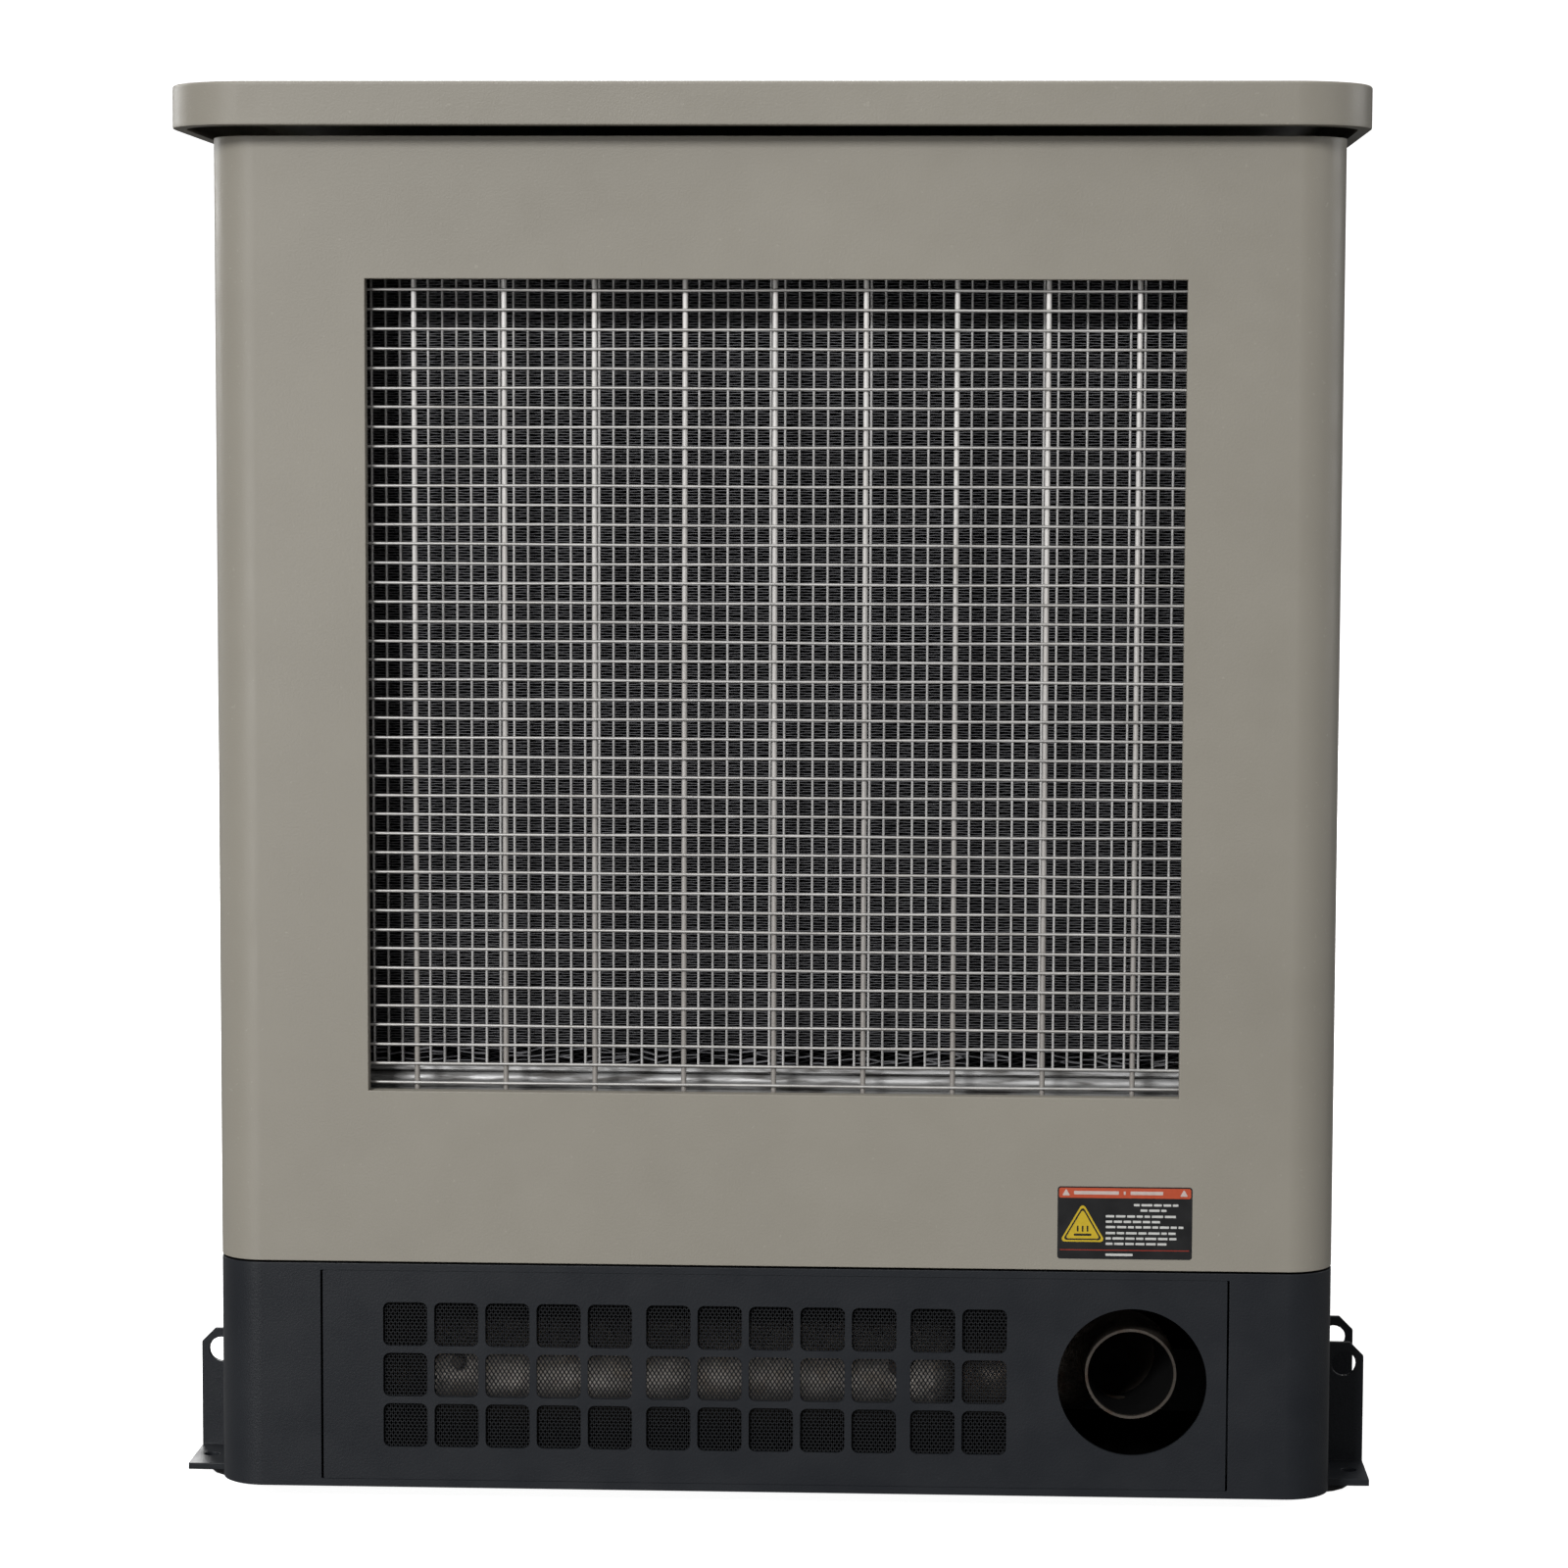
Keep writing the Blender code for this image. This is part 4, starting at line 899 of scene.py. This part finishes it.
for side, sign in SIDES:
    door = "door_" + side
    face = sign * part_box("door_right")[1].x
    hoods = [louvre_hood(sign, face, bank, bank + LOUVRE_LENGTH, LOUVRE_BOTTOM + i * LOUVRE_PITCH)
             for bank in LOUVRE_BANKS for i in range(LOUVRE_ROWS)]
    piece("door_skin_" + side, from_node(door), "taupe_paint", [door], door, bevel=0.0007)
    piece("louvre_hoods_" + side, merged(*hoods), "taupe_paint", body=door, angle=50)
    fixed, swinging = hinge_knuckles(sign)
    piece("hinge_knuckles_" + side, fixed, "bright_wire", angle=50)
    piece("hinge_knuckles_door_" + side, swinging, "bright_wire", body=door, angle=50)
    lock = turned([(0.0068, 0.0), (0.0074, 0.0006), (0.0074, 0.0084), (0.0066, 0.0092)],
                  (sign * LATCH_LOCK[0], *LATCH_LOCK[1:]), "x", 28, sign)
    piece("latch_lock_" + side, lock, FASTENER, body="latch_" + side, angle=50)
foam_sheet("rear_baffle", "base", -0.335, 0.335, 0.796, 0.812, 0.250, 0.930)
foam_sheet("door_foam_right", "door_right", 0.396, 0.406, -0.770, 0.770, 0.200, 0.965)
foam_sheet("door_foam_left", "door_left", -0.406, -0.396, -0.770, 0.770, 0.200, 0.965)


# ---- Warning plate, with plain shapes and no lettering ----
LABEL = (0.211, 0.310, 0.191, 0.245)
LABEL_FACE = FRONT - 0.00005
LAYER = 0.0001
BLACK, YELLOW = (0.015, 0.015, 0.015), (0.62, 0.44, 0.025)


def triangle(u, v, size, radius, steps=5):
    """An upright triangle with round corners, centred on (u, v)."""
    made = []
    for cu, cv, turn in [(u + (size - 2 * radius) * math.cos(turn), v + (size - 2 * radius) * math.sin(turn), turn)
                         for turn in [QUARTER + i * math.tau / 3 for i in range(3)]]:
        made += arc(cu, cv, radius, turn - math.pi / 3, turn + math.pi / 3, steps)
    return made


def text_bars(column, right, bottom):
    """Rows of plain bars, where a real plate has words. A row is (height, start and end as shares of the width)."""
    width = right - 0.003 - column
    rows = [(0.0405, 0.34, 0.88), (0.0365, 0.42, 0.80), (0.0320, 0, 0.90), (0.0280, 0, 0.66), (0.0240, 0, 0.98),
            (0.0195, 0, 0.90), (0.0155, 0, 0.86), (0.0115, 0, 0.74)]
    for rise, start, end in rows:
        at = column + start * width
        while at < column + end * width - 0.003:
            stop_at = min(at + random.uniform(0.0035, 0.0085), column + end * width)
            yield rounded(at, stop_at, bottom + rise - 0.00085, bottom + rise + 0.00085, 0.0003, 2)
            at = stop_at + 0.0012
    yield rounded(column, column + 0.020, bottom + 0.0024, bottom + 0.0042, 0.0004, 2)


def warning_plate():
    """Layers of ink on vinyl, each one thin layer above the one before."""
    left, right, bottom, top = LABEL
    band = top - 0.0085
    mid_u, mid_v = left + 0.0185, bottom + 0.0225
    symbol = [oblong(mid_u, mid_v - 0.0044, 0.0065, 0.0008, 0.0004)]
    symbol += [oblong(mid_u + shift, mid_v + 0.0001, 0.0006, 0.0023, 0.0005) for shift in (-0.0036, 0, 0.0036)]
    heading = []
    at = left + 0.012
    for length in (0.0330, 0.0015, 0.0240):
        heading.append(rounded(at, at + length, band + 0.0026, band + 0.0052, 0.0004, 2))
        at += length + 0.0035
    heading += [triangle(corner, band + 0.0034, 0.0034, 0.0005, 3) for corner in (left + 0.0062, right - 0.0062)]
    layers = [
        ("label_vinyl", 0, "label_black", (0.012, 0.012, 0.013), [rounded(left, right, bottom, top, 0.0022)]),
        ("label_band", 1, "label_red", (0.52, 0.085, 0.035),
         [rounded(left + 0.001, right - 0.001, band, top - 0.001, 0.0014)]),
        ("label_rule", 1, "label_rule_red", (0.36, 0.035, 0.02),
         [rounded(left + 0.002, right - 0.002, bottom + 0.0064, bottom + 0.0070, 0.0002, 2)]),
        ("label_triangle", 1, "label_yellow", YELLOW, [triangle(mid_u, mid_v, 0.0195, 0.0022)]),
        ("label_triangle_edge", 2, "label_inner_black", BLACK, [triangle(mid_u, mid_v, 0.0168, 0.0016)]),
        ("label_triangle_field", 3, "label_inner_yellow", YELLOW, [triangle(mid_u, mid_v, 0.0146, 0.0012)]),
        ("label_symbol", 4, "label_symbol_black", BLACK, symbol),
        ("label_bars", 1, "label_white", (0.62, 0.62, 0.60), text_bars(left + 0.0355, right, bottom)),
        ("label_heading", 2, "label_heading_pale", (0.60, 0.50, 0.46), heading),
    ]
    for name, level, ink, colour, outlines in layers:
        face = LABEL_FACE - LAYER * level
        shapes = [prism(outline, "y", face - LAYER, face) for outline in outlines]
        piece(name, merged(*shapes), (printed(ink, colour), "black_plastic"), angle=30)


warning_plate()


# ---- Fasteners ----
def hex_bolt(spot, axis, radius, sign):
    """A flanged hex head that faces along the axis, towards sign."""
    washer = turned([(radius * 1.55, 0.0), (radius * 1.45, radius * 0.25)], spot, axis, 28, sign)
    u, v, w = AXES[axis]
    head = prism(circle(spot[u], spot[v], radius, 6), axis, spot[w] + sign * radius * 0.2,
                 spot[w] + sign * radius * 0.95)
    return merged(washer, head)


def pan_screw(spot, axis, radius, sign):
    """A low domed head with a round socket."""
    dome = [(radius * math.cos(angle), radius * 0.62 * math.sin(angle))
            for angle in [i / 5 * math.radians(62) for i in range(6)]]
    socket, top, sunk = radius * 0.40, dome[-1][1], dome[-1][1] - radius * 0.3
    return turned([*dome, (socket, top), (socket * 0.9, sunk)], spot, axis, 24, sign)


def fasteners(name, spots, axis, radius, sign=1, maker=hex_bolt, finish=FASTENER):
    piece(name, merged(*[maker(spot, axis, radius, sign) for spot in spots]), finish, angle=40)


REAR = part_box("rear_panel")[1].y
COVER_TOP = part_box("valve_cover")[1].z
HOUSING_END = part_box("alternator_housing")[1].y
CRANK_Z = 0.340

for side, sign in SIDES:
    fasteners("rear_panel_screws_" + side, [(sign * 0.365, REAR, z) for z in (0.225, 0.480, 0.735, 0.975)],
              "y", 0.0048, maker=pan_screw)
    fasteners("plinth_side_screws_" + side, [(sign * HALF_W, y, 0.150) for y in (-0.720, -0.360, 0, 0.360, 0.720)],
              "x", 0.0046, sign, pan_screw)
    for end in ("front", "rear"):
        low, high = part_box(f"lift_bracket_{end}_{side}")
        spots = [(sign * 0.436, y, low.z + 0.005) for y in (low.y + 0.105, high.y - 0.105)]
        fasteners(f"bracket_bolts_{end}_{side}", spots, "z", 0.0042, finish="dark_paint")
fasteners("plinth_rear_screws", [(x, REAR, 0.160) for x in (-0.360, -0.180, 0, 0.180, 0.360)], "y", 0.0046,
          maker=pan_screw)
fasteners("head_bolts_front", [(x, ENGINE_FRONT, z) for x in (-0.095, 0.030) for z in (0.525, 0.615)], "y", 0.007, -1)
fasteners("cover_bolts", [(x, y, COVER_TOP - 0.0216) for x in (-0.060, 0.060)
                          for y in (-0.505, -0.380, -0.230, -0.105)], "z", 0.0055)
fasteners("sump_bolts", [(x, y, 0.262) for x in (-0.13376, 0.13376)
                         for y in (-0.470, -0.370, -0.270, -0.170, -0.090)], "z", 0.0050, -1)
fasteners("housing_bolts", [(u, HOUSING_END, v) for u, v in circle(0, CRANK_Z, 0.160, 16)[1::2]], "y", 0.006)
fasteners("manifold_bolts", [(-0.1203, y + shift, 0.560) for y in (-0.470, -0.365, -0.260, -0.155)
                             for shift in (-0.026, 0.026)], "x", 0.005, -1)


# ---- Engine and alternator details ----
def coil_pack(y):
    """A coil over plug, with its connector."""
    base = COVER_TOP - 0.022
    boot = turned([(0.017, 0.0), (0.017, 0.014), (0.0135, 0.022), (0.0135, 0.034)], (0.030, y, base), "z", 24)
    plug = prism(rounded(0.040, 0.068, y - 0.010, y + 0.010, 0.003, 3), "z", base + 0.014, base + 0.031)
    return merged(boot, plug)


def starter_motor():
    """Solenoid above a drum, low on the left of the engine."""
    drum = turned([(0.030, 0.0), (0.036, 0.007), (0.036, 0.145), (0.030, 0.155)], (-0.1680, -0.245, 0.395), "y", 40)
    solenoid = turned([(0.019, 0.0), (0.021, 0.005), (0.021, 0.100)], (-0.1680, -0.225, 0.453), "y", 32)
    return merged(drum, solenoid)


def housing_ribs():
    """Cooling ribs along the alternator's drum, with none underneath."""
    ribs = []
    for angle in [i * math.tau / 24 for i in range(24)]:
        if abs(math.sin(angle) + 1) < 0.4:
            continue
        rib = box(-0.0025, 0.0025, -0.005, 0.420, 0.182, 0.193)
        turn = Matrix.Translation((0, 0, CRANK_Z)) @ Matrix.Rotation(angle, 4, "Y")
        bmesh.ops.transform(rib, matrix=turn, verts=rib.verts)
        ribs.append(rib)
    return merged(*ribs)


piece("ignition_coils", merged(*[coil_pack(y) for y in (-0.440, -0.340, -0.225, -0.135)]), "black_plastic",
      bevel=0.0012)
piece("oil_filler_cap", turned([(0.026, 0.0), (0.027, 0.0028), (0.027, 0.0108), (0.022, 0.0148)],
                               (0, -0.480, 0.7222), "z", 36), "black_plastic", angle=30)
piece("starter_motor", starter_motor(), "black_plastic", bevel=0.0008)
piece("ignition_rail_bracket", box(-0.075, -0.055, -0.500, -0.110, COVER_TOP - 0.0216, COVER_TOP - 0.0190),
      "bright_wire", bevel=0.0008)
piece("alternator_ribs", housing_ribs(), "engine_iron", bevel=0.001)
piece("alternator_grille", merged(*[revolve([(r, 0.0), (r + 0.004, 0.0), (r + 0.004, 0.004), (r, 0.004)],
                                            (0, HOUSING_END, CRANK_Z), steps=64)
                                    for r in (0.060, 0.078, 0.096, 0.114, 0.132)]), "engine_iron", angle=40)

FAN_Y, FAN_Z, BLADES = -0.662, 0.620, 6


def fan_blade(radius, rows=9, columns=7):
    """A cupped blade with a round tip, pointing up from the hub."""
    shape = bmesh.new()
    grid = []
    for a in range(rows):
        share = a / (rows - 1)
        reach = 0.048 + (radius - 0.050) * share
        half = 0.030 + 0.014 * math.sin(math.pi * min(share * 0.95, 1.0))
        if share > 0.9:
            half *= 0.86
        line = []
        for b in range(columns):
            across = (b / (columns - 1) * 2 - 1) * half
            line.append(Vector((across, 0.006 * (1 - (across / half) ** 2), reach)))
        grid.append(line)
    faces = [[[shape.verts.new(point + Vector((0, offset, 0))) for point in line] for line in grid]
             for offset in (-0.0010, 0.0010)]
    for face in faces:
        for line, after in zip(face, face[1:]):
            for b in range(columns - 1):
                shape.faces.new((line[b], line[b + 1], after[b + 1], after[b]))
    skin(shape, [[*face[0], *[line[-1] for line in face[1:]], *face[-1][-2::-1], *[line[0] for line in face[-2:0:-1]]]
                 for face in faces])
    return shape


def fan_moulding():
    """Swept blades on a hub with a shaft."""
    low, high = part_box("fan")
    blades = []
    for i in range(BLADES):
        blade = fan_blade((high.z - low.z) / 2)
        place = (Matrix.Translation((0, FAN_Y, FAN_Z)) @ Matrix.Rotation(i * math.tau / BLADES, 4, "Y")
                 @ Matrix.Rotation(math.radians(28), 4, "Z"))
        bmesh.ops.transform(blade, matrix=place, verts=blade.verts)
        blades.append(blade)
    shaft_end = ENGINE_FRONT - 0.004 - FAN_Y
    hub = turned([(0.046, -0.014), (0.055, -0.008), (0.055, 0.012), (0.050, 0.014), (0.012, 0.014),
                  (0.012, shaft_end)], (0, FAN_Y, FAN_Z))
    return merged(hub, *blades)


piece("fan_moulding", fan_moulding(), "black_plastic", ["fan"], "fan", angle=40)


# ---- Control box and battery ----
PANEL_FACE = 0.360
BATTERY_LOW, BATTERY_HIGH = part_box("battery")


def raised(outline, start, end):
    return prism(outline, "x", PANEL_FACE + start, PANEL_FACE + end)


piece("controller_bezel", raised(rounded(0.140, 0.380, 0.735, 0.875, 0.008), 0, 0.004), "black_plastic", bevel=0.0012)
piece("controller_screen", raised(rounded(0.165, 0.275, 0.785, 0.860, 0.003, 4), 0.0042, 0.0052),
      (printed("screen_glass", (0.012, 0.016, 0.020), 0.12), "black_plastic"), bevel=0.0004)
piece("controller_keys", merged(*[raised(oblong(0.170 + i * 0.025, 0.757, 0.009, 0.009, 0.003, 4), 0.0042, 0.0058)
                                  for i in range(5)]),
      (printed("panel_print", (0.42, 0.43, 0.43), 0.5), "bare_aluminium"), bevel=0.0006)
piece("controller_lamps", merged(*[revolve([(0.0, 0.0042), (0.004, 0.0042), (0.0034, 0.0066), (0.0, 0.0074)],
                                           (PANEL_FACE, 0.310 + i * 0.022, 0.835), "x", 20) for i in range(3)]),
      (printed("green_lamp", (0.04, 0.36, 0.09), 0.2), "red_plastic"), angle=40)
piece("stop_button_collar", revolve([(0.0205, 0.0002), (0.026, 0.0002), (0.025, 0.0030), (0.0205, 0.0030)],
                                    (PANEL_FACE, 0.370, 0.680), "x", 40),
      (printed("collar_yellow", (0.60, 0.42, 0.03)), "black_plastic"), angle=40)
piece("battery_lid", prism(rounded(BATTERY_LOW.x - 0.002, BATTERY_HIGH.x + 0.002, BATTERY_LOW.y - 0.002,
                                   BATTERY_HIGH.y + 0.002, 0.006, 4),
                           "z", BATTERY_HIGH.z - 0.036, BATTERY_HIGH.z - 0.013), "black_plastic", bevel=0.002)
piece("battery_strap", box(BATTERY_LOW.x - 0.003, BATTERY_HIGH.x + 0.003, 0.645, 0.670,
                           BATTERY_HIGH.z - 0.0125, BATTERY_HIGH.z - 0.010), "rubber", bevel=0.001)
for i, x in enumerate((-0.335, -0.220)):
    clamp = revolve([(0.0092, -0.011), (0.016, -0.011), (0.016, -0.002), (0.0092, -0.002)],
                    (x, 0.530, BATTERY_HIGH.z), "z", 28)
    piece(f"battery_clamp_{i}", clamp, "bare_aluminium", bevel=0.0008)


# ---- Floor, light and camera ----
def studio():
    """A seamless round sweep: floor, curve and wall on every side. It lights nothing."""
    reach, bend, wall, steps = 18.0, 3.0, 12.0, 64
    profile = [(reach - bend + u, bend + v) for u, v in arc(0, 0, bend, -QUARTER, 0, 12)] + [(reach, wall)]
    shape = bmesh.new()
    centre = shape.verts.new((0, 0, 0))
    rings = [[shape.verts.new((x, y, z)) for x, y in circle(0, 0, r, steps)] for r, z in profile]
    for j in range(steps):
        shape.faces.new((centre, rings[0][j], rings[0][(j + 1) % steps]))
    skin(shape, rings)
    paper = Finish("studio_paper", 0.75)
    tone = paper.blend(paper.noise(0.8, 3), (0.88, 0.88, 0.88), (0.92, 0.92, 0.92))
    paper.links.new(tone, paper.shader.inputs["Base Color"])
    paper.shader.inputs["Emission Color"].default_value = (1.0, 1.0, 1.0, 1.0)
    paper.shader.inputs["Emission Strength"].default_value = 0.95
    sweep = holder("studio_sweep", shape)
    sweep.data.shade_smooth()
    sweep.data.materials.append(paper.material)
    sweep.visible_diffuse = False
    sweep.visible_glossy = False


def painted_ground_shadow():
    """A black sheet on the ground under the set: painted shadow where no light reaches."""
    shadow_sheet = holder("painted_ground_shadow", box(-0.40, 0.40, -0.79, 0.80, 0.0004, 0.0012))
    shadow_sheet.data.materials.append(SOOT_AND_PAINTED_SHADOW[0])


def sky():
    """Pale air, brighter on the left and above."""
    world = bpy.data.worlds.new("studio_air")
    world.use_nodes = True
    air = Graph(world.node_tree)
    background = air.nodes["Background"]
    background.inputs["Color"].default_value = (1.0, 0.995, 0.985, 1.0)
    way = air.nodes.new("ShaderNodeTexCoord").outputs["Generated"]
    across = air.spread(air.coordinate(way, "X"), -1.0, 1.0, 0.90, 0.42)
    upward = air.spread(air.coordinate(way, "Z"), -0.6, 0.7, 0.09, 0.50)
    air.links.new(air.product(across, upward), background.inputs["Strength"])
    bpy.context.scene.world = world


# Name, place, the point it faces, width and height, and power in watts.
SOFTBOXES = [
    ("key", (-4.2, -12.5, 7.2), (0, -0.8, 0.6), (2.6, 2.6), 1240),
    ("near_left", (-1.7, -3.7, 0.40), (-0.3, -0.8, 0.2), (1.2, 0.8), 19),
    ("fill", (3.2, -3.0, 2.0), (0, -0.8, 0.6), (2.0, 2.0), 12),
    ("top", (0, 0.7, 4.4), (0, 0.2, 0), (3.0, 2.6), 44),
    ("right_side", (5.0, 0.5, 1.6), (0.3, 0.1, 0.5), (2.5, 2.0), 42),
    ("left_side", (-6.0, 3.6, 2.6), (-0.3, 0.4, 0.5), (3.0, 3.0), 160),
    ("rear", (-1.5, 7.5, 3.0), (0, 0.8, 0.5), (4.0, 3.0), 300),
]


def softbox(name, place, aim, size, power):
    light = bpy.data.lights.new(name, "AREA")
    light.shape = "RECTANGLE"
    light.size, light.size_y = size
    light.energy = power
    made = added(name, light)
    made.location = place
    made.rotation_euler = (Vector(aim) - Vector(place)).to_track_quat("-Z", "Y").to_euler()


def camera():
    """The photograph's viewing angle: right of the middle, below the lid, turned a little left and down."""
    place, lens = (0.1485, FRONT - 3.1124, 0.8055), 97.905
    yaw, pitch, roll = 0.0451, -0.0847, 0.0033
    ahead = Vector((-math.sin(yaw) * math.cos(pitch), math.cos(yaw) * math.cos(pitch), math.sin(pitch)))
    level = Vector((math.cos(yaw), math.sin(yaw), 0))
    upright = level.cross(ahead)
    right = math.cos(roll) * level + math.sin(roll) * upright
    up = -math.sin(roll) * level + math.cos(roll) * upright
    data = bpy.data.cameras.new("view")
    data.sensor_width = 36.0
    data.lens = lens
    data.clip_end = 60.0
    made = added("view", data)
    made.matrix_world = Matrix.Translation(place) @ Matrix((
        (right.x, up.x, -ahead.x, 0), (right.y, up.y, -ahead.y, 0), (right.z, up.z, -ahead.z, 0), (0, 0, 0, 1)))
    bpy.context.scene.camera = made


studio()
painted_ground_shadow()
sky()
for row in SOFTBOXES:
    softbox(*row)
camera()
bpy.context.scene.view_settings.view_transform = "Standard"
